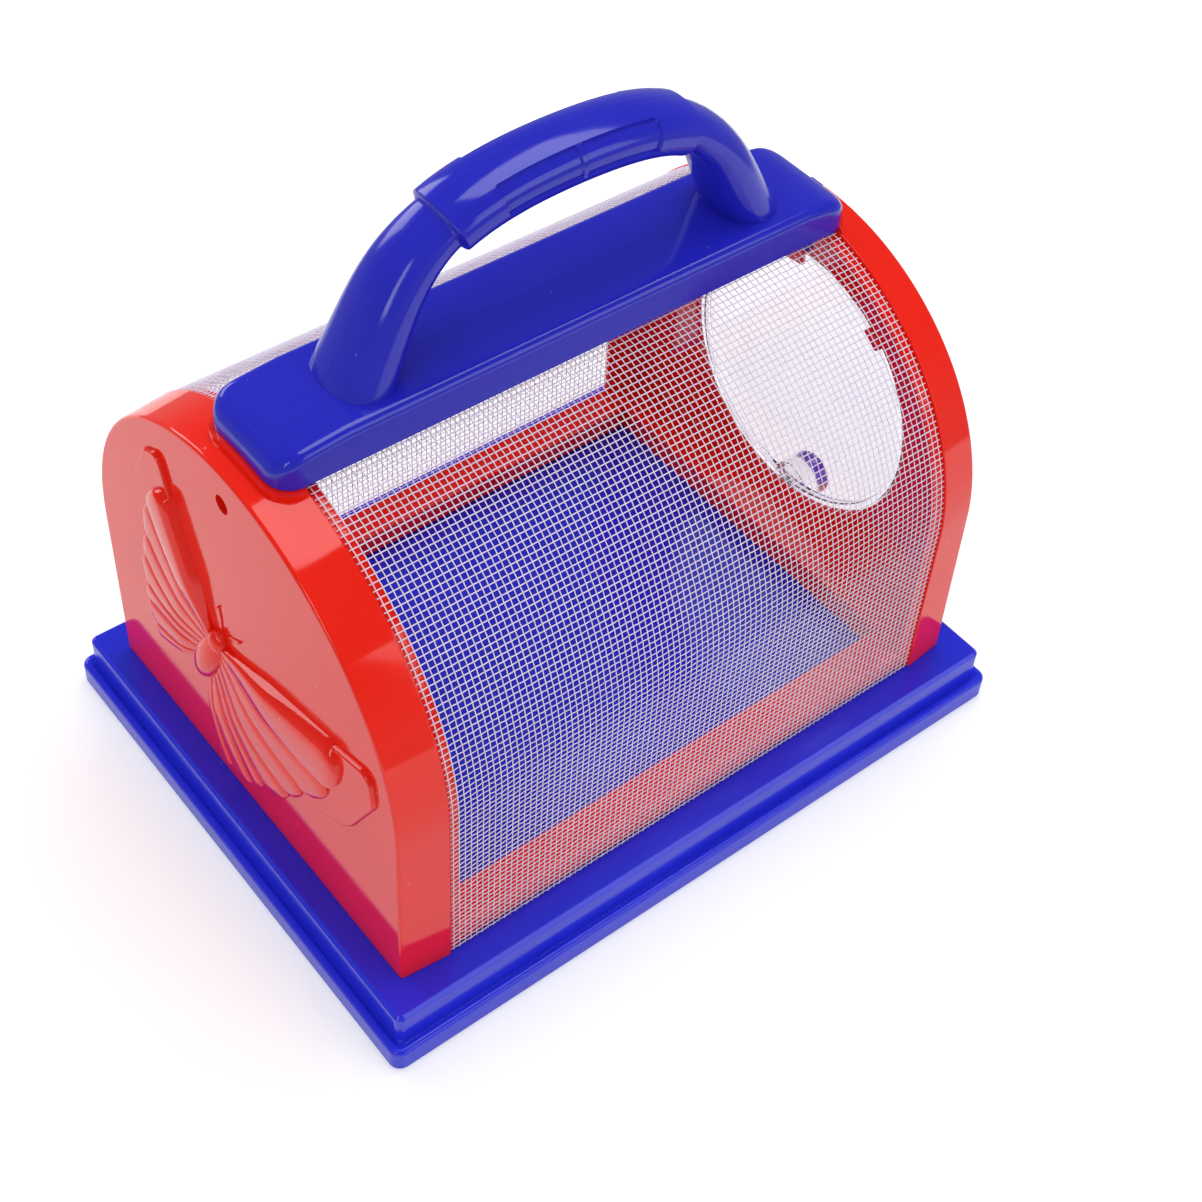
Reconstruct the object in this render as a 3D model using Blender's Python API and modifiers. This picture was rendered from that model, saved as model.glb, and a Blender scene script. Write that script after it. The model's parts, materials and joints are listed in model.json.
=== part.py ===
"""Bug house: a screened insect cage on a tray, with a clear door and a carrying handle.

Metres, +Z up. X runs along the cage, the butterfly end at -X and the door end at +X.
The origin is the middle of the tray's underside.
"""
import math

import bmesh
import bpy
from mathutils import Matrix, Vector

MM = 0.001

# Fits
GAP = 0.3 * MM
OVERLAP = 0.5 * MM
OVERCUT = 2 * MM
MERGE_DISTANCE = 0.01 * MM

# Tray
BASE_LENGTH = 190 * MM
BASE_WIDTH = 145 * MM
BASE_HEIGHT = 16.2 * MM
BASE_CORNER = 3 * MM
BASE_SHELL = 2.4 * MM
FLANGE_HEIGHT = 6.8 * MM
FLANGE_EDGE = 0.8 * MM
TIER_INSET = 2.7 * MM
TIER_CORNER = 2 * MM
TIER_EDGE = 0.9 * MM

# Arch of the cage, on its upright sides
ARCH_RADIUS = 62.4 * MM
SIDE_HEIGHT = 48.6 * MM

# End walls: the outer face leans inwards, the rim's inner edge is upright
WALL_LEAN = math.radians(1.4)
WALL_THICKNESS = 2.4 * MM
RIM_DEPTH = 12.2 * MM
LIP_WIDTH = 3.1 * MM
SEAT_DEPTH = 1.1 * MM
SILL_HEIGHT = 7.4 * MM
SILL_SHELL = 2 * MM
PAD_HEIGHT = 0.9 * MM
PAD_HALF_WIDTH = 16 * MM
PAD_LENGTH = 7 * MM

# Side rails
RAIL_WIDTH = 9.6 * MM

# Screen, drawn as a coarse lattice
SCREEN_THICKNESS = 0.4 * MM
SCREEN_RECESS = 0.2 * MM
SCREEN_BAR = 1.6 * MM
SCREEN_CELLS_ALONG = 8
SCREEN_CELLS_ROUND = 24

# Beam and handle: the beam's ends lie on the walls' rims
BEAM_LENGTH = 151.6 * MM
BEAM_LAP = 3.2 * MM
BEAM_WIDTH = 28.4 * MM
BEAM_RISE = 8.8 * MM
BEAM_CORNER = 6 * MM
BEAM_EDGE = 2.2 * MM
HANDLE_SHELL = 2.4 * MM
HANDLE_RISE = 33.4 * MM
FOOT_INSET = 23 * MM
HANDLE_LEG_PULL = 22.6 * MM
HANDLE_TOP_PULL = 41.6 * MM
HANDLE_LEG_LEAN = math.radians(29)
FOOT_RADIUS = 6.6 * MM
LEG_RADIUS = 4.9 * MM
GRIP_RADIUS = 5.5 * MM
GRIP_HALF_LENGTH = 30 * MM
GRIP_STEP_LENGTH = 0.6 * MM
HANDLE_WIDENING_RATIO = 1.5

# Screws
SHANK_RADIUS = 1.3 * MM
HEAD_RADIUS = 2 * MM
HEAD_HEIGHT = 1.8 * MM
BOSS_RADIUS = 3.2 * MM
BASE_SCREW_LENGTH = 7 * MM
WALL_SCREW_LENGTH = 6 * MM
HANDLE_SCREW_LENGTH = 10 * MM
WALL_BOSS_INSET = 22.4 * MM
RAIL_BOSS_INSET = 29.5 * MM
BEAM_BOSS_INSET = 9.8 * MM
GRIP_BOSS_INSET = 6 * MM
GRIP_SCREW_SINK = 0.8 * MM

# Lugs under the beam's ends, and the recesses of the screws that hold them to the walls
LUG_THICKNESS = 2.4 * MM
LUG_HALF_WIDTH = 4 * MM
LUG_FOOT = 3.6 * MM
WALL_SCREW_DROP = 10.2 * MM
RECESS_SHELL = 1.6 * MM

# Door
OPENING_RADIUS = 38.9 * MM
OPENING_RISE = 11.8 * MM
DOOR_THICKNESS = 2 * MM
DOOR_LAP = 3 * MM
COLLAR_DEPTH = 2 * MM
COLLAR_SHELL = 1.8 * MM
COLLAR_CLEARANCE = 0.4 * MM
TONGUE_HALF_WIDTH = 8 * MM
KNOB_DROP = 2.6 * MM
KNOB_RADIUS = 5.2 * MM
KNOB_LENGTH = 7.2 * MM
KNOB_EDGE = 1.2 * MM
KNOB_SPIGOT_RADIUS = 2 * MM
TAB_LENGTH = 1 * MM
TAB_REACH = 2.1 * MM
TAB_HALF_ANGLES = {-7.4: 8, 42: 5}  # degrees from the top towards -Y, half widths

# Hinge
HINGE_RISE = 2.2 * MM
HINGE_OFFSET = 3.2 * MM
BARREL_RADIUS = 2.7 * MM
PIN_RADIUS = 1.2 * MM
BARREL_HALF_LENGTH = 11 * MM
HINGE_LUG_WIDTH = 4 * MM

# Butterfly relief on the front wall, as two scalloped fans and a body
RELIEF_HEIGHT = 1 * MM
BUTTERFLY_Y = 13.9 * MM
BUTTERFLY_RISE = 41.3 * MM
BUTTERFLY_TILT = math.radians(28)
WING_LEAD = math.radians(41)
WING_TRAIL = math.radians(149)
WING_LEAD_RADIUS = 66 * MM
WING_TRAIL_RADIUS = 34 * MM
WING_FAR_RATIO = 0.78
WING_LOBE_COUNT = 7
WING_LOBE_DEPTH = 2 * MM
BODY_LENGTH = 15 * MM
BODY_WIDTH = 8 * MM

# Facets
ARCH_STEPS = 28
PAD_STEPS = 12
CORNER_STEPS = 4
LOBE_STEPS = 6
HANDLE_STEPS = 15
SMALL_ROUND_STEPS = 12
MEDIUM_ROUND_STEPS = 24
LARGE_ROUND_STEPS = 48
UNDERSIDE_STEPS = 112
DRIVE_STEPS = 4

# Derived places
ARCH_CENTRE_Z = BASE_HEIGHT + SIDE_HEIGHT
ARCH_TOP_Z = ARCH_CENTRE_Z + ARCH_RADIUS
SEAT_RADIUS = ARCH_RADIUS - SEAT_DEPTH
BODY_BOTTOM_Z = BASE_HEIGHT + GAP
SILL_TOP_Z = BASE_HEIGHT + SILL_HEIGHT
RIM_INNER_X = BEAM_LENGTH / 2 - BEAM_LAP
LIP_INNER_X = RIM_INNER_X - LIP_WIDTH
WALL_FACE_X = RIM_INNER_X + RIM_DEPTH
WALL_INNER_X = WALL_FACE_X - WALL_THICKNESS
SCREW_FLOOR_Z = BASE_HEIGHT - BASE_SHELL
BEAM_UNDER_RADIUS = ARCH_RADIUS + PAD_HEIGHT + GAP
BEAM_TOP_Z = ARCH_TOP_Z + BEAM_RISE
HANDLE_FOOT_X = BEAM_LENGTH / 2 - FOOT_INSET
HANDLE_FOOT_Z = BEAM_TOP_Z - BEAM_EDGE
HANDLE_TOP_Z = BEAM_TOP_Z + HANDLE_RISE
BEAM_BOSS_X = BEAM_LENGTH / 2 - BEAM_BOSS_INSET
GRIP_BOSS_X = GRIP_HALF_LENGTH - GRIP_BOSS_INSET
WALL_BOSS_X = (LIP_INNER_X + SILL_SHELL + WALL_INNER_X) / 2
WALL_BOSS_Y = ARCH_RADIUS - WALL_BOSS_INSET
RAIL_BOSS_X = LIP_INNER_X - RAIL_BOSS_INSET
RAIL_BOSS_Y = SEAT_RADIUS - RAIL_WIDTH / 2
WALL_SCREW_Z = ARCH_TOP_Z - WALL_SCREW_DROP
FACE_AT_SCREW_X = WALL_FACE_X - (WALL_SCREW_Z - BASE_HEIGHT) * math.tan(WALL_LEAN)
LUG_OUTER_X = BEAM_LENGTH / 2 - GAP
LUG_INNER_X = LUG_OUTER_X - LUG_THICKNESS
RECESS_RADIUS = HEAD_RADIUS + GAP
RECESS_FLOOR_X = LUG_OUTER_X + GAP
RECESS_HEAD_X = RECESS_FLOOR_X + RECESS_SHELL
DOOR_CENTRE_Z = BASE_HEIGHT + OPENING_RISE + OPENING_RADIUS
DOOR_RADIUS = OPENING_RADIUS + DOOR_LAP
DOOR_INNER_X = WALL_FACE_X + GAP
DOOR_OUTER_X = DOOR_INNER_X + DOOR_THICKNESS
KNOB_Z = DOOR_CENTRE_Z - OPENING_RADIUS - KNOB_DROP
HINGE_Z = DOOR_CENTRE_Z + DOOR_RADIUS + HINGE_RISE
HINGE_X = WALL_FACE_X + HINGE_OFFSET
LEANED_HINGE_X = HINGE_X - (HINGE_Z - BASE_HEIGHT) * math.tan(WALL_LEAN)
BUTTERFLY_Z = BASE_HEIGHT + BUTTERFLY_RISE

BLUE = (0.022, 0.026, 0.52, 1)
RED = (0.80, 0.022, 0.007, 1)
WHITE = (0.80, 0.78, 0.86, 1)
CLEAR = (0.90, 0.92, 0.94, 1)
STEEL = (0.56, 0.57, 0.58, 1)


def clear_scene():
    for obj in list(bpy.data.objects):
        bpy.data.objects.remove(obj, do_unlink=True)


def make_collection(name):
    collection = bpy.data.collections.new(name)
    bpy.context.scene.collection.children.link(collection)
    return collection


def make_material(name, colour, roughness, metallic=0.0, transmission=0.0):
    material = bpy.data.materials.new(name)
    material.use_nodes = True
    shader = material.node_tree.nodes["Principled BSDF"]
    shader.inputs["Base Color"].default_value = colour
    shader.inputs["Roughness"].default_value = roughness
    shader.inputs["Metallic"].default_value = metallic
    shader.inputs["Transmission Weight"].default_value = transmission
    return material


clear_scene()
PARTS = make_collection("bug_house")
CUTTERS = make_collection("cutters")
MATERIALS = {
    "blue_plastic": make_material("blue_plastic", BLUE, 0.18),
    "red_plastic": make_material("red_plastic", RED, 0.15),
    "screen_thread": make_material("screen_thread", WHITE, 0.5),
    "clear_plastic": make_material("clear_plastic", CLEAR, 0.05, transmission=1.0),
    "screw_steel": make_material("screw_steel", STEEL, 0.35, metallic=1.0),
}


# Shapes

def add_mesh(name, mesh):
    obj = bpy.data.objects.new(name, mesh)
    CUTTERS.objects.link(obj)
    obj.hide_render = True
    obj.display_type = "WIRE"
    return obj


def mesh_from(name, bm):
    bmesh.ops.recalc_face_normals(bm, faces=bm.faces)
    mesh = bpy.data.meshes.new(name)
    bm.to_mesh(mesh)
    bm.free()
    return add_mesh(name, mesh)


def box(name, low, high):
    low, high = Vector(low), Vector(high)
    bm = bmesh.new()
    bmesh.ops.create_cube(bm, size=1)
    size = Matrix.Diagonal((*(high - low), 1))
    bmesh.ops.transform(bm, matrix=Matrix.Translation((low + high) / 2) @ size, verts=bm.verts)
    return mesh_from(name, bm)


def cylinder(name, radius, start, end, segments=MEDIUM_ROUND_STEPS):
    start, end = Vector(start), Vector(end)
    along = end - start
    bm = bmesh.new()
    bmesh.ops.create_cone(bm, cap_ends=True, segments=segments, depth=along.length,
                          radius1=radius, radius2=radius)
    turn = Vector((0, 0, 1)).rotation_difference(along).to_matrix().to_4x4()
    bmesh.ops.transform(bm, matrix=Matrix.Translation((start + end) / 2) @ turn, verts=bm.verts)
    return mesh_from(name, bm)


def evaluated_mesh(obj):
    bpy.context.view_layer.update()
    graph = bpy.context.evaluated_depsgraph_get()
    return bpy.data.meshes.new_from_object(obj.evaluated_get(graph))


def curve_to_mesh(name, curve):
    obj = bpy.data.objects.new(name, curve)
    CUTTERS.objects.link(obj)
    mesh = evaluated_mesh(obj)
    bpy.data.objects.remove(obj, do_unlink=True)
    bm = bmesh.new()
    bm.from_mesh(mesh)
    bmesh.ops.remove_doubles(bm, verts=bm.verts, dist=MERGE_DISTANCE)
    return mesh_from(name, bm)


def prism(name, outline, low, high):
    """A flat outline in its own XY plane, with its thickness from low to high along Z."""
    curve = bpy.data.curves.new(name, "CURVE")
    curve.dimensions = "2D"
    curve.fill_mode = "BOTH"
    curve.extrude = (high - low) / 2
    spline = curve.splines.new("POLY")
    spline.points.add(len(outline) - 1)
    for point, (u, v) in zip(spline.points, outline):
        point.co = (u, v, 0, 1)
    spline.use_cyclic_u = True
    obj = curve_to_mesh(name, curve)
    obj.data.transform(Matrix.Translation((0, 0, (low + high) / 2)))
    return obj


# Turns a prism drawn in (y, z) so that its thickness runs along X
ALONG_X = Matrix(((0, 0, 1, 0), (1, 0, 0, 0), (0, 1, 0, 0), (0, 0, 0, 1)))


def prism_x(name, outline, low, high):
    obj = prism(name, outline, low, high)
    obj.data.transform(ALONG_X)
    return obj


def arc(centre, radius, start, end, steps):
    angles = [start + (end - start) * step / steps for step in range(steps + 1)]
    return [(centre[0] + radius * math.cos(a), centre[1] + radius * math.sin(a)) for a in angles]


def rounded_rectangle(half_length, half_width, radius):
    outline = []
    for corner, (u, v) in enumerate(((1, 1), (-1, 1), (-1, -1), (1, -1))):
        centre = (u * (half_length - radius), v * (half_width - radius))
        start = corner * math.pi / 2
        outline += arc(centre, radius, start, start + math.pi / 2, CORNER_STEPS)
    return outline


def arch_outline(radius, bottom):
    """A round arch on straight sides, in (y, z)."""
    over = arc((0, ARCH_CENTRE_Z), radius, 0, math.pi, ARCH_STEPS)
    return [(radius, bottom)] + over + [(-radius, bottom)]


def bevel(obj, width, segments=2, angle=40):
    modifier = obj.modifiers.new("edges", "BEVEL")
    modifier.width = width
    modifier.segments = segments
    modifier.limit_method = "ANGLE"
    modifier.angle_limit = math.radians(angle)
    modifier.use_clamp_overlap = True
    return obj


def boolean(obj, tool, operation):
    modifier = obj.modifiers.new(operation.lower(), "BOOLEAN")
    modifier.operation = operation
    modifier.solver = "EXACT"
    modifier.object = tool


def add(obj, *tools):
    for tool in tools:
        boolean(obj, tool, "UNION")
    return obj


def cut(obj, *tools):
    for tool in tools:
        boolean(obj, tool, "DIFFERENCE")
    return obj


def part(obj, material):
    CUTTERS.objects.unlink(obj)
    PARTS.objects.link(obj)
    obj.hide_render = False
    obj.display_type = "TEXTURED"
    obj.data.materials.clear()
    obj.data.materials.append(MATERIALS[material])
    obj.data.shade_smooth()
    obj.data.set_sharp_from_angle(angle=math.radians(35))
    return obj


def lean(obj):
    """Leans what lies outside the rim's upright inner edge, as the wall's face leans."""
    for vertex in obj.data.vertices:
        if vertex.co.x > RIM_INNER_X + GAP:
            vertex.co.x -= (vertex.co.z - BASE_HEIGHT) * math.tan(WALL_LEAN)
    return obj


def mirror_to(obj, side):
    """Moves a piece drawn at the door end, side 1, to the other end, side -1."""
    if side < 0:
        obj.data.transform(Matrix.Scale(-1, 4, (1, 0, 0)))
        obj.data.flip_normals()
    return obj


def to_end(obj, side):
    return mirror_to(lean(obj), side)


# Screws

def screw(name, seat, direction, length):
    """A pan-head screw: seat is where its head rests, direction is where it points."""
    seat, direction = Vector(seat), Vector(direction)
    tip = seat + direction * length
    top = seat - direction * HEAD_HEIGHT
    shank = cylinder(name, SHANK_RADIUS, seat - direction * OVERLAP, tip, SMALL_ROUND_STEPS)
    head = cylinder(name + "_head", HEAD_RADIUS, top, seat, SMALL_ROUND_STEPS)
    slot_end = seat - direction * HEAD_HEIGHT / 2
    slot = cylinder(name + "_drive", SHANK_RADIUS, top - direction * OVERLAP, slot_end, DRIVE_STEPS)
    return part(cut(add(shank, head), slot), "screw_steel")


def screw_hole(name, start, end):
    return cylinder(name, SHANK_RADIUS + GAP, start, end, SMALL_ROUND_STEPS)


def base_screw_places():
    on_walls = [(sx * WALL_BOSS_X, sy * WALL_BOSS_Y) for sx in (-1, 1) for sy in (-1, 1)]
    on_rails = [(sx * RAIL_BOSS_X, sy * RAIL_BOSS_Y) for sx in (-1, 1) for sy in (-1, 1)]
    return on_walls, on_rails


def upright_boss(name, x, y, top):
    return cylinder(name, BOSS_RADIUS, (x, y, BODY_BOTTOM_Z), (x, y, top), SMALL_ROUND_STEPS)


def upright_hole(name, x, y):
    depth = SCREW_FLOOR_Z + BASE_SCREW_LENGTH + GAP
    return screw_hole(name, (x, y, SCREW_FLOOR_Z - OVERCUT), (x, y, depth))


# Tray

def make_tray():
    half_length, half_width = BASE_LENGTH / 2, BASE_WIDTH / 2
    flange_outline = rounded_rectangle(half_length, half_width, BASE_CORNER)
    tray = bevel(prism("base_tray", flange_outline, 0, FLANGE_HEIGHT), FLANGE_EDGE, 1)
    inset = TIER_INSET
    tier_outline = rounded_rectangle(half_length - inset, half_width - inset, TIER_CORNER)
    tier = bevel(prism("tray_tier", tier_outline, FLANGE_EDGE + BASE_SHELL, BASE_HEIGHT), TIER_EDGE, 1)
    add(tray, tier)
    inset = BASE_SHELL
    lower_outline = rounded_rectangle(half_length - inset, half_width - inset, BASE_CORNER)
    lower = prism("tray_lower_hollow", lower_outline, -OVERCUT, FLANGE_HEIGHT - BASE_SHELL)
    inset = BASE_SHELL + TIER_INSET
    upper_outline = rounded_rectangle(half_length - inset, half_width - inset, BASE_CORNER)
    upper = prism("tray_upper_hollow", upper_outline, -OVERCUT, SCREW_FLOOR_Z)
    cut(tray, lower, upper)
    on_walls, on_rails = base_screw_places()
    for number, (x, y) in enumerate(on_walls + on_rails, 1):
        top = (x, y, BASE_HEIGHT + OVERCUT)
        cut(tray, screw_hole(f"tray_hole_{number}", (x, y, SCREW_FLOOR_Z - OVERCUT), top))
        screw(f"base_screw_{number}", (x, y, SCREW_FLOOR_Z - GAP), (0, 0, 1), BASE_SCREW_LENGTH)
    part(tray, "blue_plastic")


# End walls

def wall_shell(name, side):
    wall = prism_x(name, arch_outline(ARCH_RADIUS, BODY_BOTTOM_Z), RIM_INNER_X, WALL_FACE_X)
    lip = prism_x(name + "_lip", arch_outline(SEAT_RADIUS, BODY_BOTTOM_Z), LIP_INNER_X, RIM_INNER_X + GAP)
    inner_radius = ARCH_RADIUS - WALL_THICKNESS
    hollow_outline = arch_outline(inner_radius, SILL_TOP_Z)
    hollow = prism_x(name + "_hollow", hollow_outline, LIP_INNER_X - OVERCUT, WALL_INNER_X)
    under = box(name + "_under", (LIP_INNER_X + SILL_SHELL, -inner_radius, BODY_BOTTOM_Z - OVERCUT),
                (WALL_INNER_X, inner_radius, SILL_TOP_Z - SILL_SHELL))
    for piece in (wall, lip, hollow, under):
        to_end(piece, side)
    add(wall, lip)
    return cut(wall, hollow, under)


def saddle_pad(name, side):
    """The raised pad on the rim that the beam's end lies on."""
    half_angle = math.asin(PAD_HALF_WIDTH / ARCH_RADIUS)
    upward = math.pi / 2
    ends = (upward - half_angle, upward + half_angle)
    outline = arc((0, ARCH_CENTRE_Z), ARCH_RADIUS + PAD_HEIGHT, *ends, PAD_STEPS)
    outline += arc((0, ARCH_CENTRE_Z), ARCH_RADIUS - OVERLAP, *reversed(ends), PAD_STEPS)
    return mirror_to(prism_x(name, outline, RIM_INNER_X + GAP, RIM_INNER_X + PAD_LENGTH), side)


def wall_screw_seat(wall, name, side):
    """A tube behind the face with the screw's head at its foot, and a notch for the beam's lug."""
    def along(x):
        return (x, 0, WALL_SCREW_Z)

    radius = RECESS_RADIUS + RECESS_SHELL
    tube_start = along(RECESS_FLOOR_X - OVERLAP)
    tube = cylinder(name + "_tube", radius, tube_start, along(FACE_AT_SCREW_X - OVERLAP))
    recess = cylinder(name + "_recess", RECESS_RADIUS, along(RECESS_HEAD_X), along(WALL_FACE_X + OVERCUT))
    hole = screw_hole(name + "_hole", along(RECESS_FLOOR_X - OVERCUT), along(RECESS_HEAD_X + OVERCUT))
    notch_side = LUG_HALF_WIDTH + GAP
    notch = box(name + "_notch", (LIP_INNER_X - OVERCUT, -notch_side, ARCH_CENTRE_Z + ARCH_RADIUS / 2),
                (RECESS_FLOOR_X, notch_side, ARCH_TOP_Z + OVERCUT))
    for piece in (tube, recess, hole, notch):
        mirror_to(piece, side)
    cut(add(wall, tube), recess, hole, notch)
    seat = (side * (RECESS_HEAD_X + GAP), 0, WALL_SCREW_Z)
    screw(f"wall_screw_{name}", seat, (-side, 0, 0), WALL_SCREW_LENGTH)


def wall_bosses(wall, name, places):
    for number, (x, y) in enumerate(places):
        add(wall, upright_boss(f"{name}_boss_{number}", x, y, SILL_TOP_Z - SILL_SHELL + OVERLAP))
        cut(wall, upright_hole(f"{name}_boss_hole_{number}", x, y))


def butterfly_outline(mirror, scale):
    """One pair of wings on one side: a fan about the body with a lobed edge, in (y, z)."""
    steps = WING_LOBE_COUNT * LOBE_STEPS
    outline = [(0, 0)]
    for step in range(steps + 1):
        share = step / steps
        angle = WING_LEAD + (WING_TRAIL - WING_LEAD) * share
        radius = WING_LEAD_RADIUS + (WING_TRAIL_RADIUS - WING_LEAD_RADIUS) * share
        radius -= WING_LOBE_DEPTH * (1 - abs(math.sin(math.pi * WING_LOBE_COUNT * share)))
        turn = math.pi / 2 + BUTTERFLY_TILT + mirror * angle
        outline.append((scale * radius * math.cos(turn), scale * radius * math.sin(turn)))
    return [(BUTTERFLY_Y + y, BUTTERFLY_Z + z) for y, z in outline]


def butterfly(wall):
    """The body first, because the wings' points meet inside it."""
    face = (WALL_FACE_X - OVERLAP, WALL_FACE_X + RELIEF_HEIGHT)
    body_outline = arc((0, 0), 1, 0, 2 * math.pi, MEDIUM_ROUND_STEPS)[:-1]
    turn = Matrix.Rotation(BUTTERFLY_TILT, 2)
    body = [turn @ Vector((u * BODY_WIDTH / 2, v * BODY_LENGTH / 2)) for u, v in body_outline]
    body = [(BUTTERFLY_Y + y, BUTTERFLY_Z + z) for y, z in body]
    add(wall, to_end(prism_x("butterfly_body", body, face[0], face[1] + RELIEF_HEIGHT), -1))
    for name, mirror, scale in (("near_wing", 1, 1), ("far_wing", -1, WING_FAR_RATIO)):
        add(wall, to_end(prism_x(name, butterfly_outline(mirror, scale), *face), -1))


def make_front_wall(screw_places):
    wall = wall_shell("end_wall_front", -1)
    wall_bosses(wall, "front", screw_places)
    add(wall, saddle_pad("front_pad", -1))
    wall_screw_seat(wall, "front", -1)
    butterfly(wall)
    part(wall, "red_plastic")


def stop_tab(name, angle, half_angle):
    """A piece of a ring behind the opening's edge, which the door's collar stops against."""
    middle = math.pi / 2 + math.radians(angle)
    ends = (middle - math.radians(half_angle), middle + math.radians(half_angle))
    outline = arc((0, DOOR_CENTRE_Z), OPENING_RADIUS + OVERLAP, *ends, CORNER_STEPS)
    outline += arc((0, DOOR_CENTRE_Z), OPENING_RADIUS - TAB_REACH, *reversed(ends), CORNER_STEPS)
    return prism_x(name, outline, WALL_INNER_X - TAB_LENGTH, WALL_INNER_X + GAP)


def hinge_lug(name, y):
    low, high = y - HINGE_LUG_WIDTH / 2, y + HINGE_LUG_WIDTH / 2
    eye = cylinder(name, BARREL_RADIUS, (HINGE_X, low, HINGE_Z), (HINGE_X, high, HINGE_Z))
    arm = box(name + "_arm", (WALL_FACE_X - OVERLAP, low, HINGE_Z - BARREL_RADIUS / 2),
              (HINGE_X, high, HINGE_Z + BARREL_RADIUS / 2))
    return to_end(eye, 1), to_end(arm, 1)


def make_door_wall(screw_places):
    wall = wall_shell("end_wall_door", 1)
    wall_bosses(wall, "door", screw_places)
    add(wall, saddle_pad("door_pad", 1))
    wall_screw_seat(wall, "door", 1)
    start = (WALL_INNER_X - OVERCUT, 0, DOOR_CENTRE_Z)
    end = (WALL_FACE_X + OVERCUT, 0, DOOR_CENTRE_Z)
    opening = cylinder("door_opening", OPENING_RADIUS, start, end, LARGE_ROUND_STEPS)
    cut(wall, to_end(opening, 1))
    for angle, half_angle in TAB_HALF_ANGLES.items():
        add(wall, to_end(stop_tab(f"tab_{angle}", angle, half_angle), 1))
    lug_y = BARREL_HALF_LENGTH + GAP + HINGE_LUG_WIDTH / 2
    for name, y in (("hinge_lug_near", -lug_y), ("hinge_lug_far", lug_y)):
        add(wall, *hinge_lug(name, y))
    cut(wall, hinge_bore("wall_hinge_bore"))
    part(wall, "red_plastic")


# Door

def on_hinge(name, radius, half_length, segments=SMALL_ROUND_STEPS):
    """A cylinder round the hinge axis."""
    ends = [(HINGE_X, side * half_length, HINGE_Z) for side in (-1, 1)]
    return to_end(cylinder(name, radius, *ends, segments), 1)


def hinge_bore(name):
    return on_hinge(name, PIN_RADIUS + GAP, BARREL_HALF_LENGTH + HINGE_LUG_WIDTH + OVERCUT)


def make_hinge_pin():
    part(on_hinge("hinge_pin", PIN_RADIUS, BARREL_HALF_LENGTH + GAP + HINGE_LUG_WIDTH), "screw_steel")


def disc(name, radius, low, high):
    ends = [(x, 0, DOOR_CENTRE_Z) for x in (low, high)]
    return to_end(cylinder(name, radius, *ends, LARGE_ROUND_STEPS), 1)


def door_outline():
    """A round door with a tongue below for the knob and a neck above for the hinge, in (y, z)."""
    neck_half_width = BARREL_HALF_LENGTH - OVERLAP
    neck = math.acos(neck_half_width / DOOR_RADIUS)
    tongue = math.acos(TONGUE_HALF_WIDTH / DOOR_RADIUS)
    centre = (0, DOOR_CENTRE_Z)
    outline = arc(centre, DOOR_RADIUS, -tongue, neck, MEDIUM_ROUND_STEPS)
    outline += [(neck_half_width, HINGE_Z), (-neck_half_width, HINGE_Z)]
    outline += arc(centre, DOOR_RADIUS, math.pi - neck, math.pi + tongue, MEDIUM_ROUND_STEPS)
    return outline + arc((0, KNOB_Z), TONGUE_HALF_WIDTH, math.pi, 2 * math.pi, SMALL_ROUND_STEPS)


def make_door():
    door = to_end(prism_x("door_panel", door_outline(), DOOR_INNER_X, DOOR_OUTER_X), 1)
    collar_radius = OPENING_RADIUS - COLLAR_CLEARANCE
    collar_low, collar_high = DOOR_INNER_X - COLLAR_DEPTH, DOOR_INNER_X + OVERLAP
    collar = disc("collar", collar_radius, collar_low, collar_high)
    bowl = disc("collar_bowl", collar_radius - COLLAR_SHELL, collar_low - OVERCUT, collar_high + OVERCUT)
    cut(collar, bowl)
    barrel = on_hinge("barrel", BARREL_RADIUS, BARREL_HALF_LENGTH, MEDIUM_ROUND_STEPS)
    add(door, collar, barrel)
    spigot_hole = cylinder("spigot_hole", KNOB_SPIGOT_RADIUS + GAP, (WALL_FACE_X, 0, KNOB_Z),
                           (DOOR_OUTER_X + OVERCUT, 0, KNOB_Z))
    cut(door, hinge_bore("door_hinge_bore"), to_end(spigot_hole, 1))
    return part(door, "clear_plastic")


def make_knob():
    start = DOOR_OUTER_X + GAP
    knob = cylinder("door_knob", KNOB_RADIUS, (start, 0, KNOB_Z), (start + KNOB_LENGTH, 0, KNOB_Z))
    spigot_end = (start + OVERLAP, 0, KNOB_Z)
    spigot = cylinder("spigot", KNOB_SPIGOT_RADIUS, (DOOR_INNER_X, 0, KNOB_Z), spigot_end)
    bevel(to_end(knob, 1), KNOB_EDGE, 2, 60)
    return part(add(knob, to_end(spigot, 1)), "clear_plastic")


def hang_on_hinge(*pieces):
    """Parents the door's pieces to an empty on the hinge axis, and leaves them where they are."""
    axis = bpy.data.objects.new("door_hinge_axis", None)
    PARTS.objects.link(axis)
    axis.location = (LEANED_HINGE_X, 0, HINGE_Z)
    for piece in pieces:
        piece.parent = axis
        piece.matrix_parent_inverse = Matrix.Translation(-axis.location)


# Rails

def make_rail(name, side, screw_places):
    outer = SEAT_RADIUS
    inner = outer - RAIL_WIDTH
    reach = LIP_INNER_X - GAP
    rail = box(name, (-reach, side * inner, BODY_BOTTOM_Z), (reach, side * outer, SILL_TOP_Z))
    low = (SILL_SHELL - reach, side * (inner + SILL_SHELL), BODY_BOTTOM_Z - OVERCUT)
    high = (reach - SILL_SHELL, side * (outer - SILL_SHELL), SILL_TOP_Z - SILL_SHELL)
    hollow = box(name + "_hollow", low, high)
    cut(rail, hollow)
    wall_bosses(rail, name, screw_places)
    part(rail, "red_plastic")


# Screen

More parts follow.
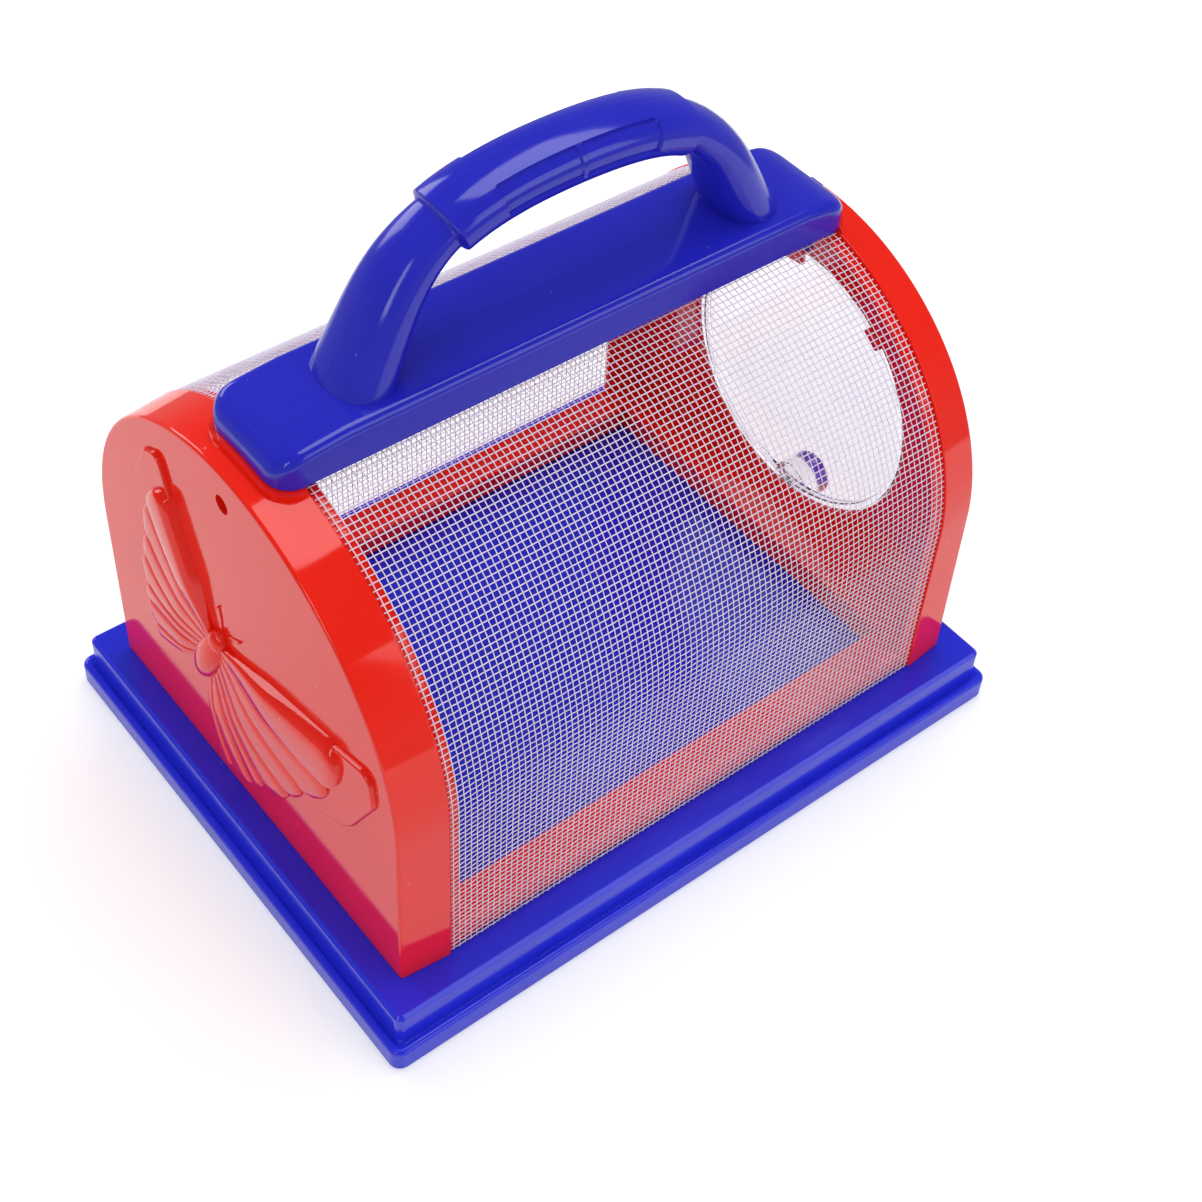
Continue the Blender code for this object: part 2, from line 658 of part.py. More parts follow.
def screen_point(along, round_share, radius):
    """A point of the sheet: up one side, over the arch and down the other."""
    side = ARCH_CENTRE_Z - BODY_BOTTOM_Z
    over = math.pi * radius
    distance = round_share * (2 * side + over)
    if distance < side:
        return Vector((along, -radius, BODY_BOTTOM_Z + distance))
    if distance > side + over:
        return Vector((along, radius, ARCH_CENTRE_Z - (distance - side - over)))
    angle = (distance - side) / radius
    return Vector((along, -radius * math.cos(angle), ARCH_CENTRE_Z + radius * math.sin(angle)))


def make_screen():
    radius = ARCH_RADIUS - SCREEN_RECESS - SCREEN_THICKNESS
    half_length = RIM_INNER_X - GAP
    round_length = 2 * (ARCH_CENTRE_Z - BODY_BOTTOM_Z) + math.pi * radius
    bm = bmesh.new()
    bmesh.ops.create_grid(bm, x_segments=SCREEN_CELLS_ALONG, y_segments=SCREEN_CELLS_ROUND, size=0.5)
    bmesh.ops.scale(bm, vec=(2 * half_length, round_length, 1), verts=bm.verts)
    gaps = bmesh.ops.inset_individual(bm, faces=bm.faces[:], thickness=SCREEN_BAR / 2)
    rims = set(gaps["faces"])
    bmesh.ops.delete(bm, geom=[face for face in bm.faces if face not in rims], context="FACES")
    for vertex in bm.verts:
        share = vertex.co.y / round_length + 0.5
        vertex.co = screen_point(vertex.co.x, share, radius)
    screen = mesh_from("screen", bm)
    thickness = screen.modifiers.new("thickness", "SOLIDIFY")
    thickness.thickness = SCREEN_THICKNESS
    thickness.offset = 1
    part(screen, "screen_thread")


# Beam and handle

def bezier(points, share):
    a, b, c, d = (Vector(point) for point in points)
    rest = 1 - share
    return a * rest ** 3 + b * 3 * rest ** 2 * share + c * 3 * rest * share ** 2 + d * share ** 3


def handle_line():
    """The handle's middle line in (x, z), from the foot at -X to the foot at +X."""
    foot = (-HANDLE_FOOT_X, HANDLE_FOOT_Z)
    leg = (-HANDLE_FOOT_X + HANDLE_LEG_PULL * math.sin(HANDLE_LEG_LEAN),
           HANDLE_FOOT_Z + HANDLE_LEG_PULL * math.cos(HANDLE_LEG_LEAN))
    half = [bezier((foot, leg, (-HANDLE_TOP_PULL, HANDLE_TOP_Z), (0, HANDLE_TOP_Z)), step / HANDLE_STEPS)
            for step in range(HANDLE_STEPS + 1)]
    return half + [Vector((-point.x, point.y)) for point in reversed(half[:-1])]


def with_grip_ends(line):
    """Adds a pair of points where the grip's thicker stretch begins and ends."""
    points = [point for point in line if abs(abs(point.x) - GRIP_HALF_LENGTH) > GRIP_STEP_LENGTH]
    for end in (-GRIP_HALF_LENGTH, GRIP_HALF_LENGTH):
        index = next(i for i, point in enumerate(points) if point.x > end)
        before, after = points[index - 1], points[index]
        place = before.lerp(after, (end - before.x) / (after.x - before.x))
        step = (after - before).normalized() * GRIP_STEP_LENGTH / 2
        points[index:index] = [place - step, place + step]
    return points


def handle_radius(point):
    if abs(point.x) < GRIP_HALF_LENGTH:
        return GRIP_RADIUS
    share = (abs(point.x) - GRIP_HALF_LENGTH) / (HANDLE_FOOT_X - GRIP_HALF_LENGTH)
    return LEG_RADIUS + (FOOT_RADIUS - LEG_RADIUS) * share ** 2


def handle_tube(name, inset, resolution):
    """The arched handle, as a tube along its middle line, made wider across."""
    line = with_grip_ends(handle_line())
    down = Vector((0, BEAM_EDGE + HANDLE_SHELL / 2))
    line = [line[0] - down] + line + [line[-1] - down]
    curve = bpy.data.curves.new(name, "CURVE")
    curve.dimensions = "3D"
    curve.bevel_depth = 1
    curve.bevel_resolution = resolution
    curve.use_fill_caps = True
    curve.twist_mode = "Z_UP"
    spline = curve.splines.new("POLY")
    spline.points.add(len(line) - 1)
    for point, place in zip(spline.points, line):
        point.co = (place.x, 0, place.y, 1)
        point.radius = handle_radius(place) - inset
    tube = curve_to_mesh(name, curve)
    tube.data.transform(Matrix.Scale(HANDLE_WIDENING_RATIO, 4, (0, 1, 0)))
    return tube


def beam_solid(name, inset):
    outline = rounded_rectangle(BEAM_LENGTH / 2 - inset, BEAM_WIDTH / 2 - inset, BEAM_CORNER - inset)
    return prism(name, outline, ARCH_CENTRE_Z + ARCH_RADIUS / 2, BEAM_TOP_Z - inset)


def beam_under(name, radius):
    reach = BEAM_LENGTH / 2 + OVERCUT
    return cylinder(name, radius, (-reach, 0, ARCH_CENTRE_Z), (reach, 0, ARCH_CENTRE_Z), UNDERSIDE_STEPS)


def half_space(name, side):
    reach = BEAM_LENGTH
    low = (-reach, side * GAP / 2, 0)
    return box(name, low, (reach, side * reach, reach * 2))


def handle_screw_places():
    """Each screw's (x, z), and half the width of the beam or grip that it goes into."""
    beam_z = (ARCH_TOP_Z + PAD_HEIGHT + BEAM_TOP_Z) / 2
    grip = min(handle_line(), key=lambda point: abs(point.x - GRIP_BOSS_X))
    grip_half_width = GRIP_RADIUS * HANDLE_WIDENING_RATIO - GRIP_SCREW_SINK
    places = [(side * BEAM_BOSS_X, beam_z, BEAM_WIDTH / 2) for side in (-1, 1)]
    return places + [(side * grip.x, grip.y, grip_half_width) for side in (-1, 1)]


def make_lug(name, side):
    """A plate held by the near half's end that also reaches under the far half."""
    foot_z, shoulder_z = WALL_SCREW_Z - LUG_FOOT, ARCH_TOP_Z + PAD_HEIGHT - GAP
    top_z = BEAM_TOP_Z - HANDLE_SHELL / 2
    outline = [(-LUG_HALF_WIDTH, foot_z), (LUG_HALF_WIDTH, foot_z), (LUG_HALF_WIDTH, shoulder_z),
               (-GAP, shoulder_z), (-GAP, top_z), (-LUG_HALF_WIDTH, top_z)]
    lug = prism_x(name, outline, LUG_INNER_X, LUG_OUTER_X)
    hole_ends = [(x, 0, WALL_SCREW_Z) for x in (LUG_INNER_X - OVERCUT, LUG_OUTER_X + OVERCUT)]
    hole = screw_hole(name + "_hole", *hole_ends)
    return mirror_to(lug, side), mirror_to(hole, side)


def make_shell(name, side):
    shell = bevel(beam_solid(name, 0), BEAM_EDGE)
    add(shell, handle_tube(name + "_arch", 0, 6))
    cut(shell, beam_under(name + "_under", BEAM_UNDER_RADIUS))
    inner = beam_solid(name + "_hollow", HANDLE_SHELL)
    cut(inner, beam_under(name + "_floor", BEAM_UNDER_RADIUS + HANDLE_SHELL))
    cut(shell, inner, handle_tube(name + "_bore", HANDLE_SHELL, 2))
    for number, (x, z, half_width) in enumerate(handle_screw_places(), 1):
        ends = [(x, side * y, z) for y in (-OVERCUT, half_width - HANDLE_SHELL / 2)]
        add(shell, cylinder(f"{name}_boss_{number}", BOSS_RADIUS, *ends, SMALL_ROUND_STEPS))
    boolean(shell, half_space(name + "_half", side), "INTERSECT")
    return shell


def make_handle():
    near = make_shell("handle_shell_near", -1)
    far = make_shell("handle_shell_far", 1)
    for number, (x, z, half_width) in enumerate(handle_screw_places(), 1):
        name = f"handle_boss_{number}"
        seat = half_width - HEAD_HEIGHT - GAP
        ends = [(x, y, z) for y in (seat - GAP, half_width + OVERCUT)]
        pocket = cylinder(name + "_pocket", HEAD_RADIUS + GAP, *ends, SMALL_ROUND_STEPS)
        tip = (x, seat - HANDLE_SCREW_LENGTH - GAP, z)
        cut(far, pocket, screw_hole(name + "_hole", (x, -OVERCUT, z), (x, half_width, z)))
        cut(near, screw_hole(name + "_pilot", tip, (x, OVERCUT, z)))
        screw(f"handle_screw_{number}", (x, seat, z), (0, -1, 0), HANDLE_SCREW_LENGTH)
    for side in (-1, 1):
        lug, hole = make_lug(f"lug_{side}", side)
        cut(add(near, lug), hole)
    part(near, "blue_plastic")
    part(far, "blue_plastic")


def main():
    on_walls, on_rails = base_screw_places()
    make_tray()
    make_front_wall([place for place in on_walls if place[0] < 0])
    make_door_wall([place for place in on_walls if place[0] > 0])
    make_rail("side_rail_near", -1, [place for place in on_rails if place[1] < 0])
    make_rail("side_rail_far", 1, [place for place in on_rails if place[1] > 0])
    make_screen()
    make_handle()
    hang_on_hinge(make_door(), make_knob())
    make_hinge_pin()


main()
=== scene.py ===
"""The looks of a bug house: a screened insect cage on a tray, with a clear door and a carrying handle.

Metres, +Z up. X runs along the cage, the butterfly end at -X and the door end at +X.
"""
import json
import math

import bmesh
import bpy
import numpy as np
from mathutils import Matrix, Vector

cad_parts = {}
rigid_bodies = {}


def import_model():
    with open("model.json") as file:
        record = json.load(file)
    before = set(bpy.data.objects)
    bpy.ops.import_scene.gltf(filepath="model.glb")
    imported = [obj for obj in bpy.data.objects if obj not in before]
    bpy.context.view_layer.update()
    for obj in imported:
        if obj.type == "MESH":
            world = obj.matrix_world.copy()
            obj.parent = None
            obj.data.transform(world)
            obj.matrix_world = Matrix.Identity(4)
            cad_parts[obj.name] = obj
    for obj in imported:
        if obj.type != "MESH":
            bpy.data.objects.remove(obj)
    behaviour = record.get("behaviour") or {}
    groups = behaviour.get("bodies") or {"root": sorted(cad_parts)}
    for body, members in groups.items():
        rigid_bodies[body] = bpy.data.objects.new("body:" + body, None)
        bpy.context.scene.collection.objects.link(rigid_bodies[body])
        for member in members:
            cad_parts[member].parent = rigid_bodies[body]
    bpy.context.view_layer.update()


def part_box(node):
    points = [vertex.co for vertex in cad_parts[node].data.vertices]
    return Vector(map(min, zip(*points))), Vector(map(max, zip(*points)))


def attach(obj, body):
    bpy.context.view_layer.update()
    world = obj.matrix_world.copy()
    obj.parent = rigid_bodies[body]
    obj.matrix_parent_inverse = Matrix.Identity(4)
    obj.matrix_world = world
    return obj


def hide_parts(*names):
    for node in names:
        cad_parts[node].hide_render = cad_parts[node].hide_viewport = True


for leftover in list(bpy.data.objects):
    bpy.data.objects.remove(leftover, do_unlink=True)
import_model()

MM = 0.001

# Camera of the photo
CAMERA_PLACE = Vector((-0.21310, -0.26295, 0.40793))
CAMERA_AZIMUTH = math.radians(-41.561)
CAMERA_ELEVATION = math.radians(47.834)
CAMERA_ROLL = math.radians(4.294)
CAMERA_SENSOR = 36
FOCAL_PIXELS = 1994.2
PHOTO_PIXELS = 1202
CAMERA_CLIP = (0.01, 20)

# Places from the frame
TRAY_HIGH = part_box("base_tray")[1]
WALL_LOW, WALL_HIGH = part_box("end_wall_front")
SCREEN_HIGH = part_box("screen")[1]
HANDLE_LOW, HANDLE_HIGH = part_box("handle_shell_near")
RAIL_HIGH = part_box("side_rail_near")[1]
KNOB_LOW, KNOB_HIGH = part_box("door_knob")
PIN_LOW, PIN_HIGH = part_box("hinge_pin")

# Fits
GAP = WALL_LOW.z - TRAY_HIGH.z
OVERLAP = 0.5 * MM
OVERCUT = 2 * MM

# Tray
FLANGE_HEIGHT = 6.8 * MM
FLANGE_ROUND = 1.2 * MM
TIER_INSET = 2.7 * MM
TIER_FOOT = 0.4 * MM
TIER_EDGE = 0.9 * MM
TIER_ROUND = 0.35 * MM
TRAY_SHELL = 2.4 * MM
TRAY_BORDER = 4 * MM
TRAY_CORNER = 3 * MM
TIER_CORNER = 2 * MM
SMALLEST_CORNER = 0.8 * MM
TRAY_ROUND = 0.6 * MM
TRAY_FOOT_ROUND = 0.4 * MM
LEDGE_ROUND = 0.3 * MM
GROOVE_START = 1.9 * MM
GROOVE_FLOOR = (2.2 * MM, 2.5 * MM)
GROOVE_DEPTH = 0.5 * MM
GROOVE_LIP_ROUND = 0.2 * MM
GROOVE_ROUND = 0.1 * MM

# End walls
WALL_LEAN = math.radians(1.4)
WALL_THICKNESS = 2.4 * MM
RIM_DEPTH = 12.2 * MM
SEAT_DEPTH = 1.1 * MM
SILL_SHELL = 2 * MM
PAD_HEIGHT = 0.9 * MM
PAD_MARGIN = 1.2 * MM
PAD_ROUND = 0.6 * MM
FACE_ROUND = 0.9 * MM
FACE_DRAFT = 1.2 * MM
FRONT_LEAN = math.radians(0.5)
FRONT_RISE = 0.7 * MM
RIM_ROUND = 0.25 * MM
STEP_DRAFT = 0.05 * MM
DISH_ROUND = 1.5 * MM
FACE_BORDER = 5 * MM
ARCH_RADIUS = WALL_HIGH.y
ARCH_TOP_Z = WALL_HIGH.z - PAD_HEIGHT
ARCH_CENTRE_Z = ARCH_TOP_Z - ARCH_RADIUS
UNDER_BEAM_Z = ARCH_CENTRE_Z + ARCH_RADIUS / 2
SEAT_RADIUS = ARCH_RADIUS - SEAT_DEPTH
BODY_BOTTOM_Z = WALL_LOW.z
SILL_TOP_Z = RAIL_HIGH.z
LIP_INNER_X = -WALL_HIGH.x
RIM_INNER_X = SCREEN_HIGH.x + GAP
WALL_FACE_X = RIM_INNER_X + RIM_DEPTH
WALL_INNER_X = WALL_FACE_X - WALL_THICKNESS
FRONT_FACE_X = WALL_FACE_X + FRONT_RISE

# Screws, bosses and the recesses of the wall screws
SHANK_RADIUS = 1.3 * MM
HEAD_RADIUS = 2 * MM
HEAD_HEIGHT = 1.8 * MM
HEAD_PROFILE = ((0.55, 0), (0.82, 0.1), (0.96, 0.35), (1, 0.62), (1, 1))  # shares of its radius and height
TIP_SHARE = 0.4
BASE_SCREWS = range(1, 9)
HANDLE_SCREWS = range(1, 5)
BOSS_RADIUS = 3.2 * MM
RECESS_SHELL = 1.6 * MM
RECESS_RADIUS = HEAD_RADIUS + GAP
LUG_THICKNESS = 2.4 * MM
LUG_HALF_WIDTH = 4 * MM
LUG_DROP = 4 * MM
CROSS_REACH = 0.62 * HEAD_RADIUS
CROSS_WIDTH = 0.7 * MM
CROSS_DEPTH = 0.9 * MM

# Beam and handle
BEAM_RISE = 8.8 * MM
BEAM_CORNER = 6 * MM
BEAM_EDGE = 2.2 * MM
BEAM_BORDER = 3.5 * MM
BEAM_BREAK = 14 * MM
BEAM_DROP = 2 * MM
BEAM_FRONT_EXTRA = 3.5 * MM
BEAM_NOSE = 8 * MM
BEAM_NOSE_DROP = 3.2 * MM
BEAM_NOSE_STOPS = (0, 0.2, 0.36, 0.5, 0.62)
BEAM_HALF_LENGTH = HANDLE_HIGH.x
BEAM_HALF_WIDTH = -HANDLE_LOW.y
BEAM_TOP_Z = ARCH_TOP_Z + BEAM_RISE
BEAM_UNDER_RADIUS = ARCH_RADIUS + PAD_HEIGHT + GAP
LUG_OUTER_X = BEAM_HALF_LENGTH - GAP
RECESS_FLOOR_X = BEAM_HALF_LENGTH
RECESS_HEAD_X = RECESS_FLOOR_X + RECESS_SHELL
GRIP_RADIUS = 6 * MM
GRIP_RISE = 0.5 * MM
LEG_RADIUS = 4.8 * MM
FOOT_RADIUS = 7.1 * MM
LEG_POWER = 1.5
HANDLE_WIDTH_RATIO = 1.5
SECTION_POWER = 2.2
GRIP_HALF_LENGTH = 30 * MM
GRIP_STEP = 1 * MM
FOOT_INSET = 23 * MM
LEG_PULL = 22.6 * MM
TOP_PULL = 41.6 * MM
LEG_LEAN = math.radians(29)
PANEL_HALF_LENGTH = 19.4 * MM
PANEL_EDGES = (math.radians(38), math.radians(102))  # round the section, from its top
PANEL_BEVEL = math.radians(3)
PANEL_END = 0.4 * MM
PANEL_DEPTH = 0.8 * MM
PANEL_RIB_WIDTH = 0.7 * MM
PANEL_RIB_HEIGHT = 0.5 * MM
SEAM = 0.04 * MM
HANDLE_TOP_Z = HANDLE_HIGH.z + GRIP_RISE - GRIP_RADIUS
HANDLE_FOOT_X = BEAM_HALF_LENGTH - FOOT_INSET
HANDLE_FOOT_Z = BEAM_TOP_Z - BEAM_EDGE

# Door and hinge
OPENING_RADIUS = 38.9 * MM
OPENING_RISE = 11.8 * MM
OPENING_CHAMFER = 0.6 * MM
OPENING_ROUND = 0.4 * MM
DOOR_THICKNESS = 2 * MM
DOOR_LAP = 3 * MM
DOOR_ROUND = 0.5 * MM
COLLAR_DEPTH = 2 * MM
COLLAR_SHELL = 1.8 * MM
COLLAR_CLEARANCE = 0.4 * MM
COLLAR_ROUND = 0.5 * MM
TONGUE_HALF_WIDTH = 8 * MM
KNOB_SPIGOT_RADIUS = 2 * MM
KNOB_GROWTH = 1.25
KNOB_FOOT_SHARE = 0.7
KNOB_FOOT_ROUND = 0.6 * MM
KNOB_WAIST_SHARE = 0.92
KNOB_WAIST_ROUND = 1 * MM
KNOB_END_SHARE = 0.3
KNOB_ROUND = 1.2 * MM
TAB_LENGTH = 1 * MM
TAB_FOOT = 1.1 * MM
TAB_ROUND = 0.5 * MM
STOP_TABS = (  # middle, in degrees from the top towards -Y, half width, in degrees, and reach
    (-11.5, 8, 3.4 * MM),
    (38.5, 4.5, 1.8 * MM))
BARREL_RADIUS = 2.7 * MM
BARREL_HALF_LENGTH = 11 * MM
BARREL_ROUND = 0.3 * MM
HINGE_LUG_WIDTH = 4 * MM
LUG_WRAP = math.radians(110)
LUG_FOOT = 3 * MM
LUG_ROUND = 0.3 * MM
PIN_ROUND = 0.3 * MM
PIN_END_SHARE = 0.5
PIN_RADIUS = (PIN_HIGH.z - PIN_LOW.z) / 2
HINGE_X = (PIN_LOW.x + PIN_HIGH.x) / 2
HINGE_Z = (PIN_LOW.z + PIN_HIGH.z) / 2
DOOR_CENTRE_Z = TRAY_HIGH.z + OPENING_RISE + OPENING_RADIUS
DOOR_RADIUS = OPENING_RADIUS + DOOR_LAP
DOOR_INNER_X = WALL_FACE_X + GAP
DOOR_OUTER_X = DOOR_INNER_X + DOOR_THICKNESS
KNOB_Z = (KNOB_LOW.z + KNOB_HIGH.z) / 2

# Screen
THREAD_PITCH = 25.4 * MM / 16
THREAD_RADIUS = 0.14 * MM
THREAD_WAVE = 0.09 * MM
SCREEN_LIFT = 0.1 * MM
SCREEN_RADIUS = (SEAT_RADIUS + ARCH_RADIUS) / 2 + SCREEN_LIFT
SCREEN_HALF_LENGTH = SCREEN_HIGH.x
SCREEN_SIDE = ARCH_CENTRE_Z - BODY_BOTTOM_Z
SCREEN_ROUND = 2 * SCREEN_SIDE + math.pi * SCREEN_RADIUS

# Rails
RAIL_ROUND = 0.7 * MM

# Butterfly on the front wall, drawn about its body: ahead of the middle and out to the side, in mm
BUTTERFLY_MIDDLE = (12.4 * MM, 59.7 * MM)
BUTTERFLY_TURN = math.radians(118)
UPPER_WING_SHARE = 0.775
RELIEF_SINK = 0.4 * MM
PLATE_HEIGHT = 1.1 * MM
CREST_HEIGHT = 3.2 * MM
CREST_SHARE = 0.32
CREST_POWER = 3.2
FLUTE_HEIGHT = 2.6 * MM
FLUTE_RISE = 0.9 * MM
FLUTE_FALL = 0.25 * MM
FLUTE_STEP = 0.1 * MM
FLUTE_BULGE = 0.32
FIRST_BULGE = 0.35
FLUTE_END_SHARE = 0.9
FLUTE_END_POWER = 0.7
ROOT_SHARE = 0.5
ROOT_LENGTH = 0.5
WING_CREASES = (  # root, pull and end of each one, from the leading edge to the trailing edge
    ((10.9, 2.6), (25.5, 18), (41, 35.5)), ((7.6, 2.6), (13, 23), (26.5, 40)),
    ((5.4, 2.8), (3.4, 20.4), (11.2, 36)), ((2.6, 3), (-8.2, 18.8), (-0.1, 34.8)),
    ((-1, 3), (-12, 17.6), (-12.5, 29)), ((-4.6, 3), (-15.6, 14.9), (-20.1, 27.9)),
    ((-6.6, 2.8), (-20, 9.4), (-26.8, 20.9)), ((-8, 2), (-20.2, 6.2), (-31.6, 17.8)))
WING_PLATE = (  # corners and their rounding at the foot of its edge, and the same at the top
    ((21, 16), 0, (20.8, 16.4), 0), ((51, 46.8), 3.4, (50.2, 46.9), 3),
    ((43, 52.6), 6, (42.6, 51.7), 5.4), ((22, 52), 14, (22, 51.1), 14),
    ((2, 38), 3, (2.2, 37.6), 3), ((-6, 33), 2, (-5.6, 32.8), 2),
    ((-8, 26), 0, (-7.6, 26), 0), ((4, 18), 0, (4.2, 18.3), 0))
BODY_LENGTH, BODY_WIDTH, BODY_HEIGHT = 11.8 * MM, 4.3 * MM, 3.4 * MM
BODY_PLACE = -2.1 * MM
THORAX_PLACE, THORAX_RADIUS, THORAX_HEIGHT = 8.6 * MM, 3.3 * MM, 2.6 * MM
FACE_PLACE, FACE_RADIUS, FACE_HEIGHT = 12.4 * MM, 1.5 * MM, 1.7 * MM
EYE_PLACE, EYE_RADIUS = (13 * MM, 1 * MM), 0.6 * MM
FEELER_RADIUS = 0.24 * MM
FEELER_KNOB = 0.34 * MM
FEELER_PULLS = ((14.3, 1), (16.8, 1.8), (19, 3.2), (20.6, 4.6))  # in mm, as the wings

# Colours, each as the two shades that it varies between, the dust on them, and gloss
RED = ((0.93, 0.017, 0.006, 1), (0.89, 0.014, 0.005, 1))
BLUE = ((0.020, 0.022, 0.54, 1), (0.016, 0.018, 0.50, 1))
# The tray's blue is the same blue plastic painted lighter, as painted light for the stronger light on the
# tray
TRAY_BLUE_PAINTED_LIGHTER = ((0.022, 0.030, 0.76, 1), (0.018, 0.026, 0.71, 1))
# The threads are white; their lavender tint is a painted blue cast from the tray around them
THREAD_WHITE_PAINTED_BLUE_CAST = ((0.86, 0.78, 0.95, 1), (0.90, 0.84, 0.97, 1))
CLEAR = ((0.90, 0.885, 0.92, 1), (0.92, 0.905, 0.935, 1))
STEEL = ((0.50, 0.51, 0.52, 1), (0.62, 0.62, 0.63, 1))
RED_DUST = (0.82, 0.20, 0.17, 1)
BLUE_DUST = (0.10, 0.10, 0.56, 1)
# The tray's dust specks are real dust, painted lighter as well for the same painted light
TRAY_DUST_PAINTED_LIGHTER = (0.10, 0.10, 0.60, 1)
RED_ROUGHNESS = (0.05, 0.09)
BLUE_ROUGHNESS = (0.10, 0.17)
THREAD_ROUGHNESS = (0.35, 0.5)
CLEAR_ROUGHNESS = (0.01, 0.04)
STEEL_ROUGHNESS = (0.22, 0.42)
PLASTIC_GRAIN = (22, 60)  # scales of the noise in the colour and in the gloss
THREAD_GRAIN = (140, 400)
CLEAR_GRAIN = (30, 80)
STEEL_GRAIN = (300, 500)
PLASTIC_BUMPS = (90, 0.5)  # scale and strength
CLEAR_BUMPS = (60, 0.4)
STEEL_BUMPS = (900, 0.4)
BUMP_DEPTH = 0.02 * MM
DUST_CELLS = 170
DUST_SIZE = 0.05
DUST_PATCHES = 260
DUST_RARITY = 0.63
ROUGHNESS_NOISE = (0.3, 0.7)
COLOUR_NOISE = (0.35, 0.65)

# Floor, room and lamps
FLOOR_RADIUS = 500 * MM
FLOOR_DROP = 0.05 * MM
FLOOR_COLOUR = (0.80, 0.80, 0.80, 1)
FLOOR_GLOW_RADII = (150 * MM, 450 * MM)
FLOOR_GLOW = (0.36, 0.75)
WHITE = (1, 1, 1, 1)
GLOSS_SHARE = 0.5
ROOM_LIGHT = 0.55
ROOM_GLOSS = (0.35, 0.15)  # at the horizon, and from ROOM_GLOSS_HEIGHT up
ROOM_GLOSS_HEIGHT = 0.45
LAMP_TARGET = (0, 0, 0.08)
LAMPS = (  # name, place, width and height in metres, and power in watts
    ("overhead", (0.30, 0.12, 1.15), (0.6, 0.75), 4.4),
    ("window", (-0.2, 1.3, 0.7), (0.7, 0.6), 4.5),
    ("left", (-0.9, -0.35, 0.7), (0.22, 0.6), 1.5),
    ("fill", (0.39, -0.88, 0.5), (0.6, 0.5), 1.6))

# Facets
ARCH_STEPS = 96
FINE_ARCH_STEPS = 384
ROUND_STEPS = 48
BORE_STEPS = 32
SCREW_STEPS = 24
FEELER_STEPS = 12
CORNER_STEPS = 8
EDGE_STEPS = 5
HANDLE_STEPS = 44
SECTION_STEPS = 48
FLUTE_STEPS = 20
CAP_STEPS = 8
CAP_TURN = math.radians(86)
ACROSS_STEPS = 16
DOME_STEPS = 10
SHARP_ANGLE = math.radians(32)


# Shapes

def arc(centre, radius, start, end, steps):
    angles = [start + (end - start) * step / steps for step in range(steps + 1)]
    return [(centre[0] + radius * math.cos(a), centre[1] + radius * math.sin(a)) for a in angles]


def smooth_step(value, low, high):
    share = min(max((value - low) / (high - low), 0), 1)
    return share * share * (3 - 2 * share)


def bezier(points, share):
    a, b, c, d = (Vector(point) for point in points)
    rest = 1 - share
    return a * rest ** 3 + b * 3 * rest ** 2 * share + c * 3 * rest * share ** 2 + d * share ** 3


def rounded_path(corners, steps=EDGE_STEPS):
    """Points along a line through corners (u, v, radius), whose ends stay as they are."""
    points = []
    for index, (u, v, radius) in enumerate(corners):
        corner = Vector((u, v))
        if not radius:
            points.append((u, v))
            continue
        before = (Vector(corners[index - 1][:2]) - corner).normalized()
        after = (Vector(corners[index + 1][:2]) - corner).normalized()
        half = before.angle(after) / 2
        middle = corner + (before + after).normalized() * radius / math.sin(half)
        start = corner + before * radius / math.tan(half) - middle
        turn = (corner + after * radius / math.tan(half) - middle).angle_signed(start)
        for step in range(steps + 1):
            spoke = Matrix.Rotation(turn * step / steps, 2) @ start
            points.append(tuple(middle + spoke))
    return points


def rounded_rectangle(half_length, half_width, radius, steps=CORNER_STEPS):
    outline = []
    for corner, (u, v) in enumerate(((1, 1), (-1, 1), (-1, -1), (1, -1))):
        centre = (u * (half_length - radius), v * (half_width - radius))
        start = corner * math.pi / 2
        outline += arc(centre, radius, start, start + math.pi / 2, steps)
    return outline


def arch_outline(radius, bottom):
    """A round arch on straight sides, in (y, z)."""
    over = arc((0, ARCH_CENTRE_Z), radius, 0, math.pi, ARCH_STEPS)
    return [(radius, bottom)] + over + [(-radius, bottom)]


def linked(name, data):
    obj = bpy.data.objects.new(name, data)
    bpy.context.scene.collection.objects.link(obj)
    return obj


def mesh_object(name, vertices, faces):
    mesh = bpy.data.meshes.new(name)
    mesh.from_pydata([tuple(vertex) for vertex in vertices], [], faces)
    bm = bmesh.new()
    bm.from_mesh(mesh)
    bmesh.ops.recalc_face_normals(bm, faces=bm.faces)
    bm.to_mesh(mesh)
    bm.free()
    return linked(name, mesh)


def loft(name, rings, endless=False):
    """A closed skin through rings of equally many points, with flat ends or joined end to end."""
    count = len(rings[0])
    vertices = [point for ring in rings for point in ring]
    last = len(vertices) - count
    faces = [] if endless else [list(range(count)), list(range(last, len(vertices)))]
    for start in range(0, len(vertices) if endless else last, count):
        beyond = (start + count) % len(vertices)
        for here in range(count):
            after = (here + 1) % count
            faces.append((start + here, start + after, beyond + after, beyond + here))
    return mesh_object(name, vertices, faces)


def prism_x(name, outline, low, high):
    return loft(name, [[(x, y, z) for y, z in outline] for x in (low, high)])


def turned(name, profile, place, axis, steps=ROUND_STEPS, endless=False):
    """A turned piece: its profile is (radius, distance along the axis from its place)."""
    turn = Vector((0, 0, 1)).rotation_difference(Vector(axis))
    rings = []
    for radius, along in profile:
        ring = arc((0, 0), radius, 0, 2 * math.pi, steps)[:-1]
        rings.append([Vector(place) + turn @ Vector((u, v, along)) for u, v in ring])
    return loft(name, rings, endless)


def cylinder(name, radius, start, end, steps=ROUND_STEPS):
    along = Vector(end) - Vector(start)
    return turned(name, [(radius, 0), (radius, along.length)], start, along, steps)


def box(name, low, high):
    outline = [(low[1], low[2]), (high[1], low[2]), (high[1], high[2]), (low[1], high[2])]
    return prism_x(name, outline, low[0], high[0])


